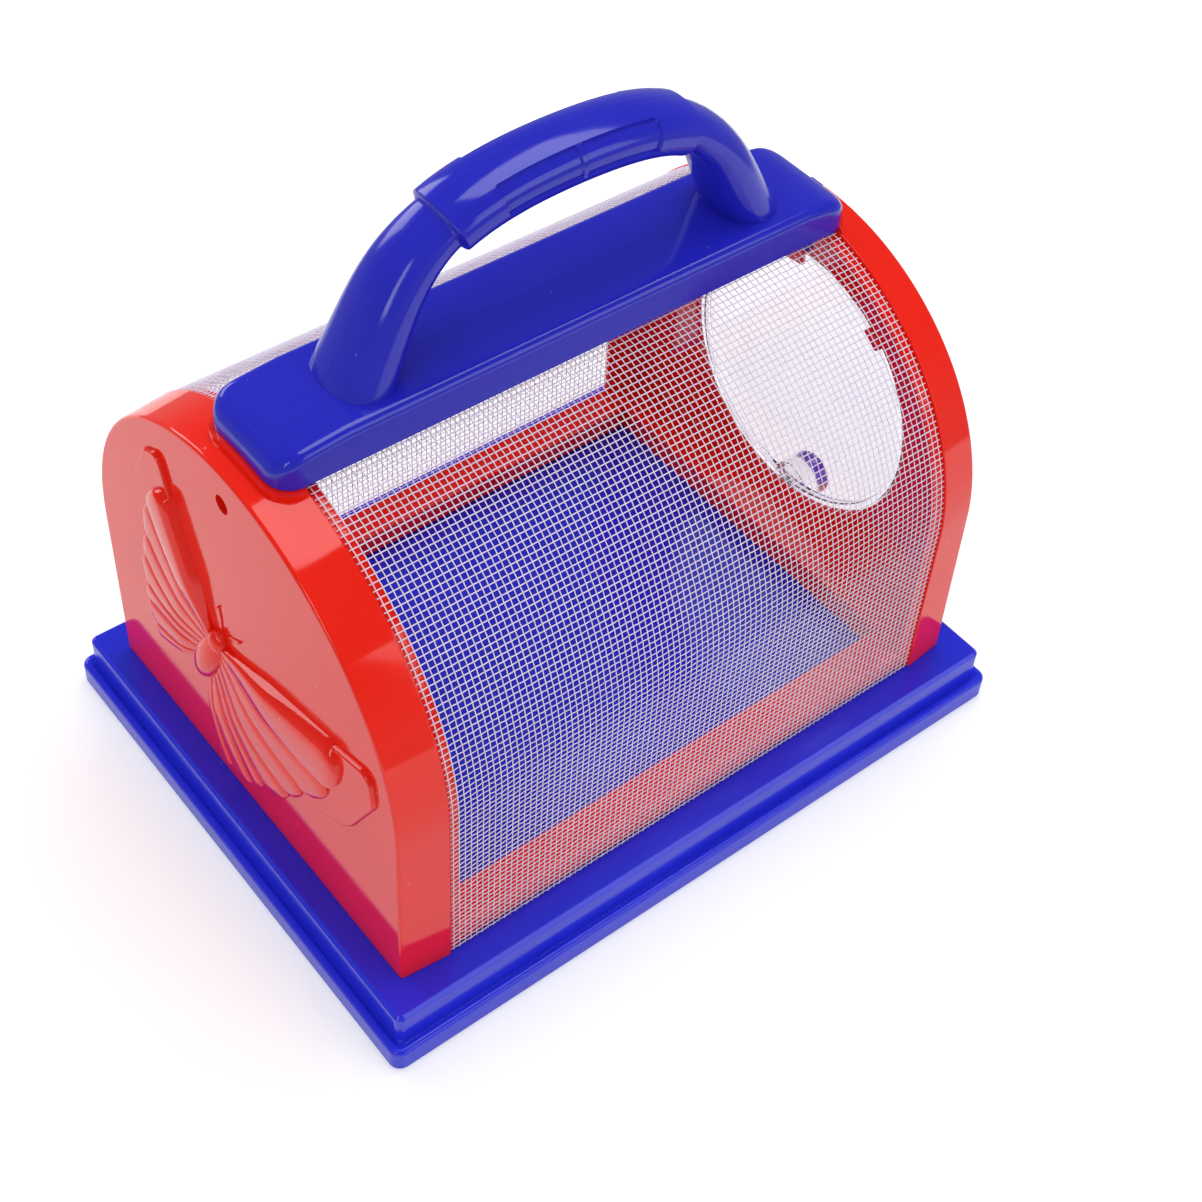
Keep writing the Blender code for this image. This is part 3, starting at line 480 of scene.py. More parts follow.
def soften(obj, width, segments=3, angle=50):
    """Rounds every edge that is sharper than the angle, in degrees."""
    bm = bmesh.new()
    bm.from_mesh(obj.data)
    edges = [edge for edge in bm.edges if edge.calc_face_angle(0) > math.radians(angle)]
    bmesh.ops.bevel(bm, geom=edges, offset=width, segments=segments, profile=0.5, affect="EDGES",
                    clamp_overlap=True)
    bm.to_mesh(obj.data)
    bm.free()
    return obj


def boolean(obj, tool, operation):
    modifier = obj.modifiers.new("boolean", "BOOLEAN")
    modifier.operation = operation
    modifier.solver = "EXACT"
    modifier.object = tool
    bpy.context.view_layer.update()
    graph = bpy.context.evaluated_depsgraph_get()
    mesh = bpy.data.meshes.new_from_object(obj.evaluated_get(graph))
    obj.modifiers.clear()
    obj.data = mesh
    bpy.data.objects.remove(tool, do_unlink=True)
    return obj


def add(obj, *tools):
    for tool in tools:
        boolean(obj, tool, "UNION")
    return obj


def cut(obj, *tools):
    for tool in tools:
        boolean(obj, tool, "DIFFERENCE")
    return obj


def joined(obj, *others):
    """Puts other closed shells into an object's mesh."""
    bm = bmesh.new()
    for part in (obj, *others):
        bm.from_mesh(part.data)
    bm.to_mesh(obj.data)
    bm.free()
    for part in others:
        bpy.data.objects.remove(part, do_unlink=True)
    return obj


def lean(obj, angle=WALL_LEAN):
    """Leans what lies outside the rim's upright inner edge, as the wall's face leans."""
    for vertex in obj.data.vertices:
        if vertex.co.x > RIM_INNER_X + GAP:
            vertex.co.x -= (vertex.co.z - TRAY_HIGH.z) * math.tan(angle)
    return obj


def mirror_to(obj, side):
    """Moves a piece drawn at the door end, side 1, to the other end, side -1."""
    if side < 0:
        obj.data.transform(Matrix.Scale(-1, 4, (1, 0, 0)))
        obj.data.flip_normals()
    return obj


# Materials

def node(tree, kind, inputs, **settings):
    made = tree.nodes.new(kind)
    for key, value in settings.items():
        setattr(made, key, value)
    for key, value in inputs.items():
        if isinstance(value, bpy.types.NodeSocket):
            tree.links.new(value, made.inputs[key])
        else:
            made.inputs[key].default_value = value
    return made


def maths(tree, operation, value, other):
    return node(tree, "ShaderNodeMath", {0: value, 1: other}, operation=operation).outputs[0]


def noise(tree, place, scale, detail):
    inputs = {"Vector": place, "Scale": scale, "Detail": detail}
    return node(tree, "ShaderNodeTexNoise", inputs).outputs["Fac"]


def spread(tree, value, source, target):
    """Maps a value from the source range to the target range, and keeps it inside that."""
    limits = {"From Min": source[0], "From Max": source[1], "To Min": target[0], "To Max": target[1]}
    return node(tree, "ShaderNodeMapRange", {"Value": value, **limits}).outputs["Result"]


def vary_colour(tree, place, scale, shades):
    ramp = node(tree, "ShaderNodeValToRGB", {"Fac": noise(tree, place, scale, detail=3)})
    for element, position, shade in zip(ramp.color_ramp.elements, COLOUR_NOISE, shades):
        element.position = position
        element.color = shade
    return ramp.outputs["Color"]


def add_dust(tree, place, colour, dust):
    """Sparse pale specks of dust on a glossy surface."""
    cells = node(tree, "ShaderNodeTexVoronoi", {"Vector": place, "Scale": DUST_CELLS, "Randomness": 1})
    speck = maths(tree, "LESS_THAN", cells.outputs["Distance"], DUST_SIZE)
    rare = maths(tree, "GREATER_THAN", noise(tree, place, DUST_PATCHES, detail=0), DUST_RARITY)
    mask = maths(tree, "MULTIPLY", speck, rare)
    return node(tree, "ShaderNodeMix", {0: mask, 6: colour, 7: dust}, data_type="RGBA").outputs[2]


def make_finish(name, shades, roughness, grain, bumps=None, dust=None, **sockets):
    """A material whose colour and gloss vary a little, with fine bumps and specks of dust where given."""
    material = bpy.data.materials.new(name)
    material.use_nodes = True
    tree = material.node_tree
    shader = tree.nodes["Principled BSDF"]
    for key, value in sockets.items():
        shader.inputs[key.replace("_", " ")].default_value = value
    place = tree.nodes.new("ShaderNodeTexCoord").outputs["Object"]
    colour_scale, gloss_scale = grain
    colour = vary_colour(tree, place, colour_scale, shades)
    if dust:
        colour = add_dust(tree, place, colour, dust)
    tree.links.new(colour, shader.inputs["Base Color"])
    gloss = spread(tree, noise(tree, place, gloss_scale, detail=4), ROUGHNESS_NOISE, roughness)
    tree.links.new(gloss, shader.inputs["Roughness"])
    if bumps:
        scale, strength = bumps
        height = noise(tree, place, scale, detail=2)
        inputs = {"Height": height, "Distance": BUMP_DEPTH, "Strength": strength}
        bump = node(tree, "ShaderNodeBump", inputs).outputs["Normal"]
        tree.links.new(bump, shader.inputs["Normal"])
    return material


def glossy_plastic(name, shades, dust, roughness):
    return make_finish(name, shades, roughness, PLASTIC_GRAIN, PLASTIC_BUMPS, dust, IOR=1.5)


# The record's material slots and how each one looks
FINISHES = {
    "red_plastic": glossy_plastic("red_gloss", RED, RED_DUST, RED_ROUGHNESS),
    "blue_plastic": glossy_plastic("blue_gloss", BLUE, BLUE_DUST, BLUE_ROUGHNESS),
    # The screen's white threads, with a painted blue cast from the tray
    "screen_thread": make_finish("white_thread_painted_blue_cast", THREAD_WHITE_PAINTED_BLUE_CAST, THREAD_ROUGHNESS, THREAD_GRAIN, IOR=1.45),
    "clear_plastic": make_finish("clear_gloss", CLEAR, CLEAR_ROUGHNESS, CLEAR_GRAIN, CLEAR_BUMPS,
                                 IOR=1.49, Transmission_Weight=1),
    "screw_steel": make_finish("plated_steel", STEEL, STEEL_ROUGHNESS, STEEL_GRAIN, STEEL_BUMPS,
                               Metallic=1),
}
# The tray's finish: the blue plastic with its colour and dust painted lighter, as painted light on the tray
TRAY_PAINTED_LIGHT_FINISH = glossy_plastic("tray_gloss_painted_light", TRAY_BLUE_PAINTED_LIGHTER, TRAY_DUST_PAINTED_LIGHTER, BLUE_ROUGHNESS)


def piece(obj, slot, body, *nodes, finish=None):
    """Gives a piece its material, from the slot or the given finish, its shading and body, and hides the
    nodes it stands for.
    """
    obj.data.materials.clear()
    obj.data.materials.append(finish or FINISHES[slot])
    obj.data.shade_smooth()
    obj.data.set_sharp_from_angle(angle=SHARP_ANGLE)
    normals = obj.modifiers.new("normals", "WEIGHTED_NORMAL")
    normals.keep_sharp = True
    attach(obj, body)
    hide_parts(*nodes)
    return obj


# Screws

def make_screw(node_name, axis):
    """A pan-head screw with a cross recess, where the frame has it."""
    low_end, high_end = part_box(node_name)
    axis = Vector(axis)
    middle = (low_end + high_end) / 2
    length = abs((high_end - low_end).dot(axis))
    start = middle - axis * length / 2
    profile = [(wide * HEAD_RADIUS, high * HEAD_HEIGHT) for wide, high in HEAD_PROFILE]
    profile += [(SHANK_RADIUS, HEAD_HEIGHT), (SHANK_RADIUS, length - SHANK_RADIUS),
                (TIP_SHARE * SHANK_RADIUS, length)]
    screw = turned(node_name.replace("_screw", "_fixing"), profile, start, axis, SCREW_STEPS)
    side = Vector((1, 0, 0)) if axis.z else Vector((0, 0, 1))
    for across in (side, axis.cross(side)):
        thin = axis.cross(across)
        reach = across * CROSS_REACH + thin * CROSS_WIDTH / 2
        corners = [start - axis * OVERLAP - reach, start + axis * CROSS_DEPTH + reach]
        pairs = list(zip(*corners))
        cut(screw, box("cross", [min(pair) for pair in pairs], [max(pair) for pair in pairs]))
    return piece(screw, "screw_steel", "cage", node_name)


def screw_hole(start, end):
    return cylinder("hole", SHANK_RADIUS + GAP, start, end, SCREW_STEPS)


# Tray

def make_tray():
    half_length, half_width = TRAY_HIGH.x, TRAY_HIGH.y
    ceiling = TRAY_HIGH.z - TRAY_SHELL
    inner = TRAY_SHELL + TIER_INSET
    border = inner + TRAY_BORDER
    ledge = FLANGE_HEIGHT - TRAY_SHELL
    groove = FLANGE_HEIGHT - GROOVE_DEPTH
    corners = [(border, ceiling, 0), (inner, ceiling, TRAY_ROUND), (inner, ledge, LEDGE_ROUND),
               (TRAY_SHELL, ledge, LEDGE_ROUND), (TRAY_SHELL, 0, TRAY_FOOT_ROUND), (0, 0, TRAY_ROUND),
               (0, FLANGE_HEIGHT, FLANGE_ROUND), (GROOVE_START, FLANGE_HEIGHT, GROOVE_LIP_ROUND),
               (GROOVE_FLOOR[0], groove, GROOVE_ROUND), (GROOVE_FLOOR[1], groove, GROOVE_ROUND),
               (TIER_INSET, FLANGE_HEIGHT + TIER_FOOT, LEDGE_ROUND),
               (TIER_INSET, TRAY_HIGH.z - TIER_EDGE, TIER_ROUND),
               (TIER_INSET + TIER_EDGE, TRAY_HIGH.z, TIER_ROUND), (border, TRAY_HIGH.z, 0)]
    rings = []
    for inset, z in rounded_path(corners):
        on_flange = inset < GROOVE_FLOOR[1] + GROOVE_ROUND
        radius = (TRAY_CORNER if on_flange else TIER_CORNER + TIER_INSET) - inset
        radius = max(radius, SMALLEST_CORNER)
        outline = rounded_rectangle(half_length - inset, half_width - inset, radius)
        rings.append([(x, y, z) for x, y in outline])
    tray = loft("tray", rings)
    for number in BASE_SCREWS:
        low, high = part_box(f"base_screw_{number}")
        x, y = (low.x + high.x) / 2, (low.y + high.y) / 2
        cut(tray, screw_hole((x, y, ceiling - OVERCUT), (x, y, TRAY_HIGH.z + OVERCUT)))
        make_screw(f"base_screw_{number}", (0, 0, 1))
    piece(tray, "blue_plastic", "cage", "base_tray", finish=TRAY_PAINTED_LIGHT_FINISH)


# End walls

def wall_shell(name, face_x, angle):
    """The dish, the sill's front, the lip, the rim and the face, as arches of (radius, foot, x) in turn."""
    inner = ARCH_RADIUS - WALL_THICKNESS
    inner_x = face_x - WALL_THICKNESS
    dish = rounded_path([(inner - FACE_BORDER, inner_x, 0), (inner, inner_x, DISH_ROUND),
                         (inner, LIP_INNER_X, RIM_ROUND), (SEAT_RADIUS, LIP_INNER_X, 0)])[:-1]
    outside = rounded_path([(inner, LIP_INNER_X, 0), (SEAT_RADIUS, LIP_INNER_X, RIM_ROUND),
                            (SEAT_RADIUS, RIM_INNER_X - STEP_DRAFT, 0),
                            (ARCH_RADIUS, RIM_INNER_X, RIM_ROUND),
                            (ARCH_RADIUS - FACE_DRAFT, face_x, FACE_ROUND),
                            (ARCH_RADIUS - FACE_BORDER, face_x, 0)])[1:-1]
    arches = [(radius, SILL_TOP_Z + inner - radius, x) for radius, x in dish]
    arches += [(radius, BODY_BOTTOM_Z, x) for radius, x in outside]
    rings = [[(x, y, z) for y, z in arch_outline(radius, foot)] for radius, foot, x in arches]
    wall = lean(loft(name, rings), angle)
    under = lean(box("under", (LIP_INNER_X + SILL_SHELL, -inner, BODY_BOTTOM_Z - OVERCUT),
                     (inner_x, inner, SILL_TOP_Z - SILL_SHELL)), angle)
    return cut(wall, under)


def add_bosses(obj, side, screws):
    for number in screws:
        low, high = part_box(f"base_screw_{number}")
        x, y = side * (low.x + high.x) / 2, (low.y + high.y) / 2
        top = SILL_TOP_Z - SILL_SHELL + OVERLAP
        add(obj, cylinder("boss", BOSS_RADIUS, (x, y, BODY_BOTTOM_Z), (x, y, top), SCREW_STEPS))
        cut(obj, screw_hole((x, y, BODY_BOTTOM_Z - OVERCUT), (x, y, high.z + GAP)))
    return obj


def saddle_pad(beam_end):
    """The raised pad on the rim under the beam's end, a little larger than it all round."""
    end = beam_end + PAD_MARGIN
    half_width = BEAM_HALF_WIDTH + PAD_MARGIN
    outline = rounded_rectangle(end, half_width, BEAM_CORNER + PAD_MARGIN)
    levels = (ARCH_TOP_Z - 2 * PAD_MARGIN - OVERCUT, ARCH_TOP_Z + PAD_HEIGHT + OVERCUT)
    pad = loft("pad", [[(x, y, z) for x, y in outline] for z in levels])
    ends = ((RIM_INNER_X + GAP, 0, ARCH_CENTRE_Z), (end + OVERCUT, 0, ARCH_CENTRE_Z))
    boolean(pad, cylinder("crown", ARCH_RADIUS + PAD_HEIGHT, *ends, FINE_ARCH_STEPS), "INTERSECT")
    inside = ((LIP_INNER_X, 0, ARCH_CENTRE_Z), (end + 2 * OVERCUT, 0, ARCH_CENTRE_Z))
    cut(pad, cylinder("inside", ARCH_RADIUS - FACE_DRAFT - OVERLAP, *inside, FINE_ARCH_STEPS))
    return soften(pad, PAD_ROUND)


def add_screw_seat(wall, node_name, face_x, angle, beam_end):
    """The pad under the beam's end, and below it the wall screw's tube and the notch for the beam's lug."""
    low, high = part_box(node_name)
    z = (low.z + high.z) / 2
    face = face_x - (z - TRAY_HIGH.z) * math.tan(angle)
    tube = cylinder("tube", RECESS_RADIUS + RECESS_SHELL, (RECESS_FLOOR_X - OVERLAP, 0, z),
                    (face - OVERLAP, 0, z))
    recess = cylinder("recess", RECESS_RADIUS, (RECESS_HEAD_X, 0, z), (face_x + OVERCUT, 0, z))
    hole = screw_hole((RECESS_FLOOR_X - OVERCUT, 0, z), (RECESS_HEAD_X + OVERCUT, 0, z))
    notch_side = LUG_HALF_WIDTH + GAP
    notch = box("notch", (LIP_INNER_X - OVERCUT, -notch_side, UNDER_BEAM_Z),
                (RECESS_FLOOR_X, notch_side, ARCH_TOP_Z + OVERCUT))
    return cut(add(wall, saddle_pad(beam_end), tube), recess, hole, notch)


def make_front_wall():
    shell = wall_shell("front_wall", FRONT_FACE_X, FRONT_LEAN)
    wall = add_bosses(shell, -1, (1, 2))
    beam_end = BEAM_HALF_LENGTH + BEAM_FRONT_EXTRA
    add_screw_seat(wall, "wall_screw_front", FRONT_FACE_X, FRONT_LEAN, beam_end)
    piece(mirror_to(wall, -1), "red_plastic", "cage", "end_wall_front")
    make_screw("wall_screw_front", (1, 0, 0))


def stop_tab(angle, half_angle, reach):
    """A small tab at the opening's edge, inside the wall, that stops the door."""
    middle = math.pi / 2 + math.radians(angle)
    ends = (middle - math.radians(half_angle), middle + math.radians(half_angle))
    outline = arc((0, DOOR_CENTRE_Z), OPENING_RADIUS + TAB_FOOT, *ends, CORNER_STEPS)
    outline += arc((0, DOOR_CENTRE_Z), OPENING_RADIUS - reach, *reversed(ends), CORNER_STEPS)
    tab = prism_x("tab", outline, WALL_INNER_X - TAB_LENGTH, WALL_INNER_X + OVERLAP)
    return lean(soften(tab, TAB_ROUND))


def hinge_lug(y):
    """An eye round the hinge axis that grows out of the wall's face."""
    face = WALL_FACE_X - (HINGE_Z - TRAY_HIGH.z) * math.tan(WALL_LEAN) - OVERLAP
    outline = arc((HINGE_X, HINGE_Z), BARREL_RADIUS, -LUG_WRAP, LUG_WRAP, ROUND_STEPS)
    outline += [(face, HINGE_Z + LUG_FOOT), (face, HINGE_Z - LUG_FOOT)]
    ends = (y - HINGE_LUG_WIDTH / 2, y + HINGE_LUG_WIDTH / 2)
    return soften(loft("lug", [[(x, end, z) for x, z in outline] for end in ends]), LUG_ROUND)


def hinge_bore():
    reach = BARREL_HALF_LENGTH + HINGE_LUG_WIDTH + OVERCUT
    ends = [(HINGE_X, y, HINGE_Z) for y in (-reach, reach)]
    return cylinder("bore", PIN_RADIUS + GAP, *ends, BORE_STEPS)


def door_turned(name, profile, endless=False):
    """A disc or an endless ring about the door's middle; its profile is (radius, x)."""
    return lean(turned(name, profile, (0, 0, DOOR_CENTRE_Z), (1, 0, 0), ARCH_STEPS, endless))


def make_door_wall():
    shell = wall_shell("door_wall", WALL_FACE_X, WALL_LEAN)
    wall = add_bosses(shell, 1, (3, 4))
    add_screw_seat(wall, "wall_screw_door", WALL_FACE_X, WALL_LEAN, BEAM_HALF_LENGTH)
    wide = OPENING_RADIUS + OPENING_CHAMFER
    opening = rounded_path([(wide, WALL_INNER_X - OVERCUT, 0), (wide, WALL_INNER_X, 0),
                            (OPENING_RADIUS, WALL_INNER_X + OPENING_CHAMFER, OPENING_ROUND),
                            (OPENING_RADIUS, WALL_FACE_X - OPENING_CHAMFER, OPENING_ROUND),
                            (wide, WALL_FACE_X, 0), (wide, WALL_FACE_X + OVERCUT, 0)])
    cut(wall, door_turned("opening", opening))
    tabs = [stop_tab(*tab) for tab in STOP_TABS]
    lug_y = BARREL_HALF_LENGTH + GAP + HINGE_LUG_WIDTH / 2
    for y in (-lug_y, lug_y):
        add(wall, hinge_lug(y))
    cut(wall, hinge_bore())
    piece(joined(wall, *tabs), "red_plastic", "cage", "end_wall_door")
    make_screw("wall_screw_door", (-1, 0, 0))


# Door

def door_outline():
    """A round door with a tongue below for the knob and a neck above for the hinge, in (y, z)."""
    neck_half_width = BARREL_HALF_LENGTH - OVERLAP
    neck = math.acos(neck_half_width / DOOR_RADIUS)
    tongue = math.acos(TONGUE_HALF_WIDTH / DOOR_RADIUS)
    centre = (0, DOOR_CENTRE_Z)
    outline = arc(centre, DOOR_RADIUS, -tongue, neck, ROUND_STEPS)
    outline += [(neck_half_width, HINGE_Z), (-neck_half_width, HINGE_Z)]
    outline += arc(centre, DOOR_RADIUS, math.pi - neck, math.pi + tongue, ROUND_STEPS)
    return outline + arc((0, KNOB_Z), TONGUE_HALF_WIDTH, math.pi, 2 * math.pi, ROUND_STEPS // 2)


def make_door():
    door = lean(soften(prism_x("door", door_outline(), DOOR_INNER_X, DOOR_OUTER_X), DOOR_ROUND))
    radius = OPENING_RADIUS - COLLAR_CLEARANCE
    low, high = DOOR_INNER_X - COLLAR_DEPTH, DOOR_INNER_X + OVERLAP
    inner = radius - COLLAR_SHELL
    middle = radius - COLLAR_SHELL / 2
    section = [(middle, low, 0), (radius, low, COLLAR_ROUND), (radius, high, 0),
               (inner, high, 0), (inner, low, COLLAR_ROUND), (middle, low, 0)]
    collar = door_turned("collar", rounded_path(section)[:-1], endless=True)
    ends = [(HINGE_X, y, HINGE_Z) for y in (-BARREL_HALF_LENGTH, BARREL_HALF_LENGTH)]
    barrel = soften(cylinder("barrel", BARREL_RADIUS, *ends), BARREL_ROUND)
    add(door, collar, barrel)
    spigot_hole = lean(cylinder("spigot_hole", KNOB_SPIGOT_RADIUS + GAP, (WALL_FACE_X, 0, KNOB_Z),
                                (DOOR_OUTER_X + OVERCUT, 0, KNOB_Z)))
    cut(door, hinge_bore(), spigot_hole)
    piece(door, "clear_plastic", "door", "door_panel")


def make_knob():
    radius = KNOB_GROWTH * (KNOB_HIGH.z - KNOB_LOW.z) / 2
    start = DOOR_OUTER_X + GAP
    length = KNOB_GROWTH * (KNOB_HIGH.x - KNOB_LOW.x - DOOR_THICKNESS - GAP)
    profile = rounded_path([(KNOB_SPIGOT_RADIUS, DOOR_INNER_X, 0), (KNOB_SPIGOT_RADIUS, start, 0),
                            (KNOB_FOOT_SHARE * radius, start, 0), (radius, start, KNOB_FOOT_ROUND),
                            (KNOB_WAIST_SHARE * radius, start + length / 2, KNOB_WAIST_ROUND),
                            (radius, start + length, KNOB_ROUND),
                            (KNOB_END_SHARE * radius, start + length, 0)])
    knob = lean(turned("knob", profile, (0, 0, KNOB_Z), (1, 0, 0)))
    piece(knob, "clear_plastic", "door", "door_knob")


def make_hinge_pin():
    half = PIN_HIGH.y
    end_radius = PIN_END_SHARE * PIN_RADIUS
    profile = rounded_path([(end_radius, -half, 0), (PIN_RADIUS, -half, PIN_ROUND),
                            (PIN_RADIUS, half, PIN_ROUND), (end_radius, half, 0)])
    piece(turned("pin", profile, (HINGE_X, 0, HINGE_Z), (0, 1, 0)), "screw_steel", "cage", "hinge_pin")


# Butterfly

def butterfly_point(ahead, out, height, share=1):
    """A point of the relief, at the door end; out is positive on the lower wing's side."""
    forward = Vector((math.cos(BUTTERFLY_TURN), math.sin(BUTTERFLY_TURN)))
    place = Vector(BUTTERFLY_MIDDLE) + share * (forward * ahead + forward.orthogonal() * out)
    return FRONT_FACE_X + height, place.x, place.y


def crease(number, share):
    root, pull, end = (Vector(point) * MM for point in WING_CREASES[number])
    rest = 1 - share
    return root * rest ** 2 + pull * 2 * rest * share + end * share ** 2


def flute_height(number, across):
    """Height across a flute, from its leading side, 0, to its trailing side, 1."""
    beyond = max(across - CREST_SHARE, 0) / (1 - CREST_SHARE)
    before = 1 - min(across / CREST_SHARE, 1)
    if number == 0:
        return CREST_HEIGHT * (1 - before ** CREST_POWER) - (CREST_HEIGHT - FLUTE_HEIGHT) * beyond ** 2
    return FLUTE_HEIGHT - number * FLUTE_STEP - FLUTE_RISE * before ** 2 - FLUTE_FALL * beyond ** 2


def make_flute(number, side, share):
    """One rib of a wing, between two creases, with a rounded end."""
    rings = []
    for step in range(FLUTE_STEPS + CAP_STEPS + 1):
        along = min(step / FLUTE_STEPS, 1)
        turn = max(step - FLUTE_STEPS, 0) / CAP_STEPS * CAP_TURN
        lead, trail = crease(number, along), crease(number + 1, along)
        middle, half = (lead + trail) / 2, (trail - lead) / 2
        bulge = FLUTE_BULGE if number else FIRST_BULGE
        onward = -half.orthogonal() * bulge * 2 * math.sin(turn)
        grown = ROOT_SHARE + (1 - ROOT_SHARE) * smooth_step(along, 0, ROOT_LENGTH)
        ring = []
        for stop in range(ACROSS_STEPS + 1):
            across = stop / ACROSS_STEPS
            place = middle + onward + half * (2 * across - 1) * math.cos(turn)
            height = flute_height(number, across) * grown
            low = min(height, FLUTE_END_SHARE * PLATE_HEIGHT)
            height = low + (height - low) * math.cos(turn) ** FLUTE_END_POWER
            ring.append(butterfly_point(place.x, side * place.y, height, share))
        for across in (1, -1):
            place = middle + onward + half * across * math.cos(turn)
            ring.append(butterfly_point(place.x, side * place.y, -RELIEF_SINK, share))
        rings.append(ring)
    return loft("flute", rings)


def rounded_ring(corners):
    """A closed outline round corners (place, rounding)."""
    points = []
    for index, (place, radius) in enumerate(corners):
        before, after = corners[index - 1][0], corners[(index + 1) % len(corners)][0]
        points += rounded_path([(*before, 0), (*place, radius), (*after, 0)], CORNER_STEPS)[1:-1]
    return points


def wing_plate(side, share):
    """The low plate under a wing's ribs, rounded at its edge."""
    foot = rounded_ring([(place, radius) for place, radius, _, _ in WING_PLATE])
    top = rounded_ring([(place, radius) for _, _, place, radius in WING_PLATE])
    levels = [(0, -RELIEF_SINK)]
    for step in range(EDGE_STEPS + 1):
        turn = step / EDGE_STEPS * math.pi / 2
        levels.append((1 - math.cos(turn), PLATE_HEIGHT * math.sin(turn)))
    rings = []
    for inward, height in levels:
        outline = [Vector(low).lerp(Vector(high), inward) for low, high in zip(foot, top)]
        rings.append([butterfly_point(u * MM, side * v * MM, height, share) for u, v in outline])
    return loft("plate", rings)


def relief_dome(ahead, out, half_length, half_width, height):
    """A rounded lump that stands on the face."""
    rings = []
    for level in range(DOME_STEPS + 1):
        rise = level / DOME_STEPS * CAP_TURN
        ring = []
        for u, v in arc((0, 0), math.cos(rise), 0, 2 * math.pi, ROUND_STEPS)[:-1]:
            place = (ahead + u * half_length, out + v * half_width)
            ring.append(butterfly_point(*place, height * math.sin(rise)))
        if level == 0:
            rings.append([(x - RELIEF_SINK, y, z) for x, y, z in ring])
        rings.append(ring)
    return loft("dome", rings)


def make_feeler(side):
    rings = []
    line = [bezier([(u * MM, side * v * MM) for u, v in FEELER_PULLS], step / FLUTE_STEPS)
            for step in range(FLUTE_STEPS + 1)]
    for index, place in enumerate(line):
        before, after = line[max(index - 1, 0)], line[min(index + 1, len(line) - 1)]
        aside = (after - before).normalized().orthogonal()
        ring = []
        for u, v in arc((0, 0), FEELER_RADIUS, 0, 2 * math.pi, FEELER_STEPS)[:-1]:
            spot = place + aside * u
            ring.append(butterfly_point(spot.x, spot.y, v + FEELER_RADIUS / 2))
        rings.append(ring)
    return loft("feeler", rings)


def make_butterfly():
    lumps = [relief_dome(THORAX_PLACE, 0, THORAX_RADIUS, THORAX_RADIUS, THORAX_HEIGHT),
             relief_dome(FACE_PLACE, 0, FACE_RADIUS, FACE_RADIUS, FACE_HEIGHT)]
    for side, share in ((1, 1), (-1, UPPER_WING_SHARE)):
        lumps.append(wing_plate(side, share))
        lumps += [make_flute(number, side, share) for number in range(len(WING_CREASES) - 1)]
        ahead, out = EYE_PLACE
        lumps.append(relief_dome(ahead, side * out, EYE_RADIUS, EYE_RADIUS, FACE_HEIGHT))
        lumps.append(make_feeler(side))
        tip = [place * MM for place in FEELER_PULLS[-1]]
        lumps.append(relief_dome(tip[0], side * tip[1], FEELER_KNOB, FEELER_KNOB, 2 * FEELER_KNOB))
    body = relief_dome(BODY_PLACE, 0, BODY_LENGTH, BODY_WIDTH, BODY_HEIGHT)
    body.name = "butterfly"
    relief = lean(joined(body, *lumps), FRONT_LEAN)
    piece(mirror_to(relief, -1), "red_plastic", "cage", "end_wall_front")


# Rails

def make_rail(place, screws):
    low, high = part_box(f"side_rail_{place}")
    rail = soften(box(f"{place}_rail", low, high), RAIL_ROUND)
    hollow_low = low + Vector((SILL_SHELL, SILL_SHELL, -OVERCUT))
    hollow_high = high - Vector((SILL_SHELL, SILL_SHELL, SILL_SHELL))
    cut(rail, box("hollow", hollow_low, hollow_high))
    piece(add_bosses(rail, 1, screws), "red_plastic", "cage", f"side_rail_{place}")


# Screen

def screen_surface(distance):
    """Points and outward normals in (y, z) round the arch, by distance from the near foot."""
    over = math.pi * SCREEN_RADIUS
    angle = np.clip((distance - SCREEN_SIDE) / SCREEN_RADIUS, 0, math.pi)
    normal = np.stack([-np.cos(angle), np.sin(angle)], axis=-1)
    point = normal * SCREEN_RADIUS + np.array([0, ARCH_CENTRE_Z])
    below = np.minimum(distance - SCREEN_SIDE, 0) + np.minimum(SCREEN_SIDE + over - distance, 0)
    point[..., 1] += below
    return point, normal


def thread_tubes(x, points, normals, lift, upright):
    """Four-sided tubes along threads, by thread and stop: their vertices and faces, with closed ends."""
    count, length = lift.shape
    centres = np.zeros((count, length, 3))
    out = np.zeros((count, length, 3))
    out[..., 1:] = normals
    centres[..., 0] = x
    centres[..., 1:] = points
    centres += out * lift[..., None]
    along_x = np.array([1.0, 0, 0])
    sides = np.broadcast_to(along_x, out.shape) if upright else np.cross(out, along_x)
    rings = np.stack([centres + corner * THREAD_RADIUS for corner in (sides, out, -sides, -out)], axis=2)
    number = np.arange(count * length * 4).reshape(count, length, 4)
    after = np.roll(number, -1, axis=2)
    skin = np.stack([number[:, :-1], after[:, :-1], after[:, 1:], number[:, 1:]], axis=-1).reshape(-1, 4)
    caps = np.concatenate([number[:, 0, ::-1], number[:, -1]])
    return rings.reshape(-1, 3), np.concatenate([skin, caps])


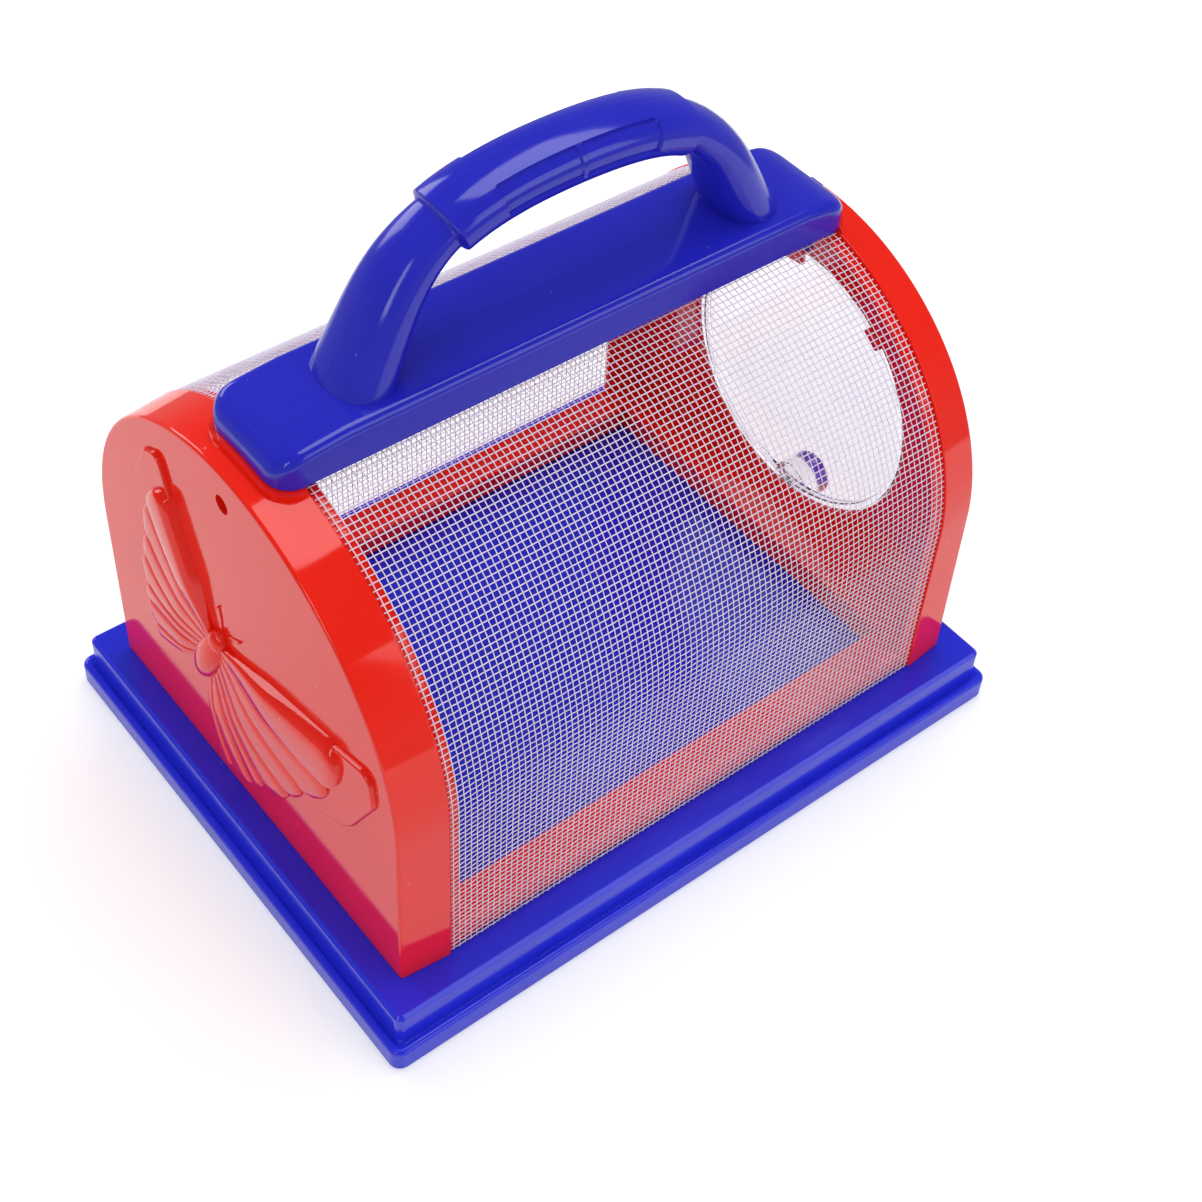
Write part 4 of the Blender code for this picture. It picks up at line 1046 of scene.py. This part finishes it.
def make_screen():
    """The weave, in a near and a far half: threads round the arch, and threads along the cage."""
    round_length = SCREEN_ROUND
    half_rows = round(round_length / 2 / THREAD_PITCH)
    columns = round(2 * SCREEN_HALF_LENGTH / THREAD_PITCH)
    row_places = (np.arange(half_rows) + 0.5) * round_length / 2 / half_rows
    column_places = ((np.arange(columns) + 0.5) / columns * 2 - 1) * SCREEN_HALF_LENGTH
    column_stops = np.concatenate([[-SCREEN_HALF_LENGTH], column_places, [SCREEN_HALF_LENGTH]])
    crossing = 1 - 2 * ((np.arange(columns)[:, None] + np.arange(half_rows)[None, :]) % 2)
    wave = crossing * THREAD_WAVE
    flat_ends = ((0, 0), (1, 1))
    for half, name in enumerate(("screen_near", "screen_far")):
        start = half * round_length / 2
        rows = row_places + start
        round_stops = np.concatenate([[start], rows, [start + round_length / 2]])
        points, normals = screen_surface(round_stops)
        upright = thread_tubes(column_places[:, None], points, normals, np.pad(wave, flat_ends), True)
        points, normals = screen_surface(rows)
        lift = np.pad(-wave.T, flat_ends)
        level = thread_tubes(column_stops, points[:, None, :], normals[:, None, :], lift, False)
        vertices = np.concatenate([upright[0], level[0]])
        faces = np.concatenate([upright[1], level[1] + len(upright[0])])
        mesh = bpy.data.meshes.new(name)
        mesh.from_pydata(vertices.tolist(), [], faces.tolist())
        obj = linked(name, mesh)
        obj.data.materials.append(FINISHES["screen_thread"])
        obj.data.shade_smooth()
        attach(obj, "cage")
        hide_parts("screen")


# Beam and handle

def handle_line():
    """The handle's middle line in (x, z), from the foot at -X to the foot at +X."""
    foot = (-HANDLE_FOOT_X, HANDLE_FOOT_Z)
    leg = (-HANDLE_FOOT_X + LEG_PULL * math.sin(LEG_LEAN), HANDLE_FOOT_Z + LEG_PULL * math.cos(LEG_LEAN))
    pulls = (foot, leg, (-TOP_PULL, HANDLE_TOP_Z), (0, HANDLE_TOP_Z))
    half = [bezier(pulls, step / HANDLE_STEPS) for step in range(HANDLE_STEPS + 1)]
    return half + [Vector((-point.x, point.y)) for point in reversed(half[:-1])]


def handle_radius(point):
    share = max(abs(point.x) - GRIP_HALF_LENGTH, 0) / (HANDLE_FOOT_X - GRIP_HALF_LENGTH)
    leg = LEG_RADIUS + (FOOT_RADIUS - LEG_RADIUS) * share ** LEG_POWER
    grip = 1 - smooth_step(abs(point.x), GRIP_HALF_LENGTH - GRIP_STEP / 2, GRIP_HALF_LENGTH + GRIP_STEP / 2)
    return leg + (GRIP_RADIUS - leg) * grip


def with_stops(line):
    """Adds points to the line where its thickness changes fast."""
    stops = [GRIP_HALF_LENGTH + GRIP_STEP * quarter / 4 for quarter in range(-3, 4)]
    for edge in (PANEL_HALF_LENGTH, PANEL_RIB_WIDTH):
        stops += [edge - PANEL_END / 2, edge + PANEL_END / 2]
    points = []
    for before, after in zip(line, line[1:]):
        points.append(before)
        inside = [x for stop in stops for x in (-stop, stop) if before.x < x < after.x]
        shares = sorted((x - before.x) / (after.x - before.x) for x in inside)
        points += [before.lerp(after, share) for share in shares]
    return points + [line[-1]]


def section_angles():
    """Angles round the handle's section from its top, with close pairs at the panels' edges."""
    steps = (-PANEL_BEVEL / 2, PANEL_BEVEL / 2)
    edges = [side * (edge + step) for side in (-1, 1) for edge in PANEL_EDGES for step in steps]
    even = [math.pi * (2 * step / SECTION_STEPS - 1) for step in range(SECTION_STEPS)]
    clear = [angle for angle in even if min(abs(angle - edge) for edge in edges) > PANEL_BEVEL / 2]
    return sorted(clear + edges)


def superellipse(angle):
    u, v = math.cos(angle), math.sin(angle)
    power = 2 / SECTION_POWER
    return math.copysign(abs(u) ** power, u), math.copysign(abs(v) ** power, v)


def panel_depth(x, angle):
    """How deep the panel in the grip's side lies, with a low rib across its middle."""
    low, high = PANEL_EDGES
    if abs(x) > PANEL_HALF_LENGTH or not low < abs(angle) < high:
        return 0
    return PANEL_DEPTH - PANEL_RIB_HEIGHT if abs(x) < PANEL_RIB_WIDTH else PANEL_DEPTH


def handle_sweep():
    line = with_stops(handle_line())
    down = Vector((0, BEAM_EDGE))
    line = [line[0] - down] + line + [line[-1] - down]
    rings = []
    for index, point in enumerate(line):
        before, after = line[max(index - 1, 0)], line[min(index + 1, len(line) - 1)]
        along = (after - before).normalized()
        across = Vector((-along.y, along.x))
        radius = handle_radius(point)
        ring = []
        for angle in section_angles():
            u, v = superellipse(angle)
            depth = panel_depth(point.x, angle)
            place = point + across * u * (radius - depth)
            ring.append((place.x, v * (radius * HANDLE_WIDTH_RATIO - depth), place.y))
        rings.append(ring)
    return loft("sweep", rings)


def make_beam(name):
    """A bar with a rounded edge, whose ends fall off in a slope and a round nose."""
    profile = rounded_path([(0, UNDER_BEAM_Z, 0), (0, BEAM_TOP_Z, BEAM_EDGE), (BEAM_BORDER, BEAM_TOP_Z, 0)])
    rings = []
    for inset, z in profile:
        outline = rounded_rectangle(BEAM_HALF_LENGTH - inset, BEAM_HALF_WIDTH - inset, BEAM_CORNER - inset)
        rings.append([(x, y, z) for x, y in outline])
    beam = loft(name, rings)
    bm = bmesh.new()
    bm.from_mesh(beam.data)
    start = BEAM_HALF_LENGTH - BEAM_BREAK
    nose = BEAM_HALF_LENGTH - BEAM_NOSE
    stops = [start] + [nose + BEAM_NOSE * share for share in BEAM_NOSE_STOPS]
    for place in [side * stop for side in (-1, 1) for stop in stops]:
        geometry = bm.verts[:] + bm.edges[:] + bm.faces[:]
        bmesh.ops.bisect_plane(bm, geom=geometry, plane_co=(place, 0, 0), plane_no=(1, 0, 0))
    for vertex in bm.verts:
        reach = abs(vertex.co.x)
        if vertex.co.z > UNDER_BEAM_Z + OVERCUT:
            round_share = min(max(reach - nose, 0) / BEAM_NOSE, 1)
            vertex.co.z -= max(reach - start, 0) / BEAM_BREAK * BEAM_DROP
            vertex.co.z -= BEAM_NOSE_DROP * (1 - math.sqrt(1 - round_share ** 2))
        if vertex.co.x < -start - OVERLAP:
            vertex.co.x -= BEAM_FRONT_EXTRA
    bm.to_mesh(beam.data)
    bm.free()
    return beam


def make_lug(side):
    """A plate held by the near half's end that also reaches under the far half."""
    low, high = HANDLE_LOW.z, BEAM_TOP_Z - LUG_DROP
    shoulder = ARCH_TOP_Z + PAD_HEIGHT - GAP
    outline = [(-LUG_HALF_WIDTH, low), (LUG_HALF_WIDTH, low), (LUG_HALF_WIDTH, shoulder),
               (-GAP, shoulder), (-GAP, high), (-LUG_HALF_WIDTH, high)]
    lug = prism_x("lug", outline, LUG_OUTER_X - LUG_THICKNESS, LUG_OUTER_X)
    screw_low, screw_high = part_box("wall_screw_door")
    z = (screw_low.z + screw_high.z) / 2
    cut(lug, screw_hole((LUG_OUTER_X - LUG_THICKNESS - OVERCUT, 0, z), (LUG_OUTER_X + OVERCUT, 0, z)))
    return mirror_to(lug, side)


def half_space(side):
    reach = 2 * BEAM_HALF_LENGTH
    near, far = sorted((side * SEAM / 2, side * reach))
    return box("half", (-reach, near, 0), (reach, far, 2 * reach))


def make_handle():
    reach = BEAM_HALF_LENGTH + BEAM_FRONT_EXTRA + OVERCUT
    ends = [(x, 0, ARCH_CENTRE_Z) for x in (-reach, reach)]
    for half, side in (("near", -1), ("far", 1)):
        shell = add(make_beam(f"handle_{half}"), handle_sweep())
        cut(shell, cylinder("under", BEAM_UNDER_RADIUS, *ends, FINE_ARCH_STEPS))
        boolean(shell, half_space(side), "INTERSECT")
        if side < 0:
            add(shell, make_lug(-1), make_lug(1))
        for number in HANDLE_SCREWS:
            low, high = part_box(f"handle_screw_{number}")
            x, z = (low.x + high.x) / 2, (low.z + high.z) / 2
            if side > 0:
                cut(shell, cylinder("pocket", HEAD_RADIUS + GAP, (x, high.y - HEAD_HEIGHT - GAP, z),
                                    (x, high.y + OVERCUT, z), BORE_STEPS))
            cut(shell, screw_hole((x, low.y - GAP, z), (x, high.y, z)))
        piece(shell, "blue_plastic", "cage", f"handle_shell_{half}")
    for number in HANDLE_SCREWS:
        make_screw(f"handle_screw_{number}", (0, -1, 0))


# Studio

def make_camera():
    level = math.cos(CAMERA_ELEVATION)
    back = Vector((math.sin(CAMERA_AZIMUTH) * level, -math.cos(CAMERA_AZIMUTH) * level,
                   math.sin(CAMERA_ELEVATION)))
    level_right = (-back).cross(Vector((0, 0, 1))).normalized()
    level_up = level_right.cross(-back)
    right = level_right * math.cos(CAMERA_ROLL) + level_up * math.sin(CAMERA_ROLL)
    up = back.cross(right)
    data = bpy.data.cameras.new("camera")
    data.sensor_width = CAMERA_SENSOR
    data.lens = CAMERA_SENSOR * FOCAL_PIXELS / PHOTO_PIXELS
    data.clip_start, data.clip_end = CAMERA_CLIP
    camera = linked("camera", data)
    camera.matrix_world = Matrix.Translation(CAMERA_PLACE) @ Matrix((right, up, back)).transposed().to_4x4()
    bpy.context.scene.camera = camera


def background_share(tree):
    """1 for rays from the camera and through glass, which see a white background, and less for gloss."""
    path = tree.nodes.new("ShaderNodeLightPath").outputs
    gloss = maths(tree, "MULTIPLY", path["Is Glossy Ray"], GLOSS_SHARE)
    seen = maths(tree, "MAXIMUM", path["Is Camera Ray"], gloss)
    return maths(tree, "MAXIMUM", seen, path["Is Transmission Ray"])


def make_floor():
    outline = arc((0, 0), FLOOR_RADIUS, 0, 2 * math.pi, ARCH_STEPS)[:-1]
    floor = mesh_object("floor", [(x, y, 0) for x, y in outline], [range(len(outline))])
    floor.location.z = -FLOOR_DROP
    material = bpy.data.materials.new("floor")
    material.use_nodes = True
    tree = material.node_tree
    tree.nodes.clear()
    matt = node(tree, "ShaderNodeBsdfDiffuse", {"Color": FLOOR_COLOUR})
    place = tree.nodes.new("ShaderNodeTexCoord").outputs["Object"]
    distance = node(tree, "ShaderNodeVectorMath", {0: place}, operation="LENGTH").outputs["Value"]
    level = spread(tree, distance, FLOOR_GLOW_RADII, FLOOR_GLOW)
    strength = maths(tree, "MULTIPLY", background_share(tree), level)
    glow = node(tree, "ShaderNodeEmission", {"Color": WHITE, "Strength": strength})
    both = node(tree, "ShaderNodeAddShader", {0: matt.outputs[0], 1: glow.outputs[0]})
    node(tree, "ShaderNodeOutputMaterial", {"Surface": both.outputs[0]})
    floor.data.materials.append(material)


def make_world():
    world = bpy.data.worlds.new("studio")
    bpy.context.scene.world = world
    world.use_nodes = True
    tree = world.node_tree
    tree.nodes.clear()
    path = tree.nodes.new("ShaderNodeLightPath").outputs
    direction = tree.nodes.new("ShaderNodeTexCoord").outputs["Generated"]
    height = node(tree, "ShaderNodeSeparateXYZ", {0: direction}).outputs["Z"]
    room = spread(tree, height, (0, ROOM_GLOSS_HEIGHT), ROOM_GLOSS)
    seen = maths(tree, "MAXIMUM", path["Is Camera Ray"], path["Is Transmission Ray"])
    gloss = node(tree, "ShaderNodeMix", {0: path["Is Glossy Ray"], 2: ROOM_LIGHT, 3: room}).outputs[0]
    strength = node(tree, "ShaderNodeMix", {0: seen, 2: gloss, 3: 1.0}).outputs[0]
    light = node(tree, "ShaderNodeBackground", {"Color": WHITE, "Strength": strength})
    node(tree, "ShaderNodeOutputWorld", {"Surface": light.outputs[0]})


def make_lamp(name, place, size, power):
    data = bpy.data.lights.new(name, "AREA")
    data.shape = "RECTANGLE"
    data.size, data.size_y = size
    data.energy = power
    lamp = linked(name, data)
    lamp.location = place
    lamp.rotation_euler = (Vector(LAMP_TARGET) - Vector(place)).to_track_quat("-Z", "Y").to_euler()


def make_studio():
    make_camera()
    make_floor()
    make_world()
    for lamp in LAMPS:
        make_lamp(*lamp)
    bpy.context.scene.view_settings.view_transform = "Standard"


def main():
    make_studio()
    make_tray()
    make_front_wall()
    make_door_wall()
    make_rail("near", (5, 7))
    make_rail("far", (6, 8))
    make_butterfly()
    make_screen()
    make_handle()
    make_door()
    make_knob()
    make_hinge_pin()


main()
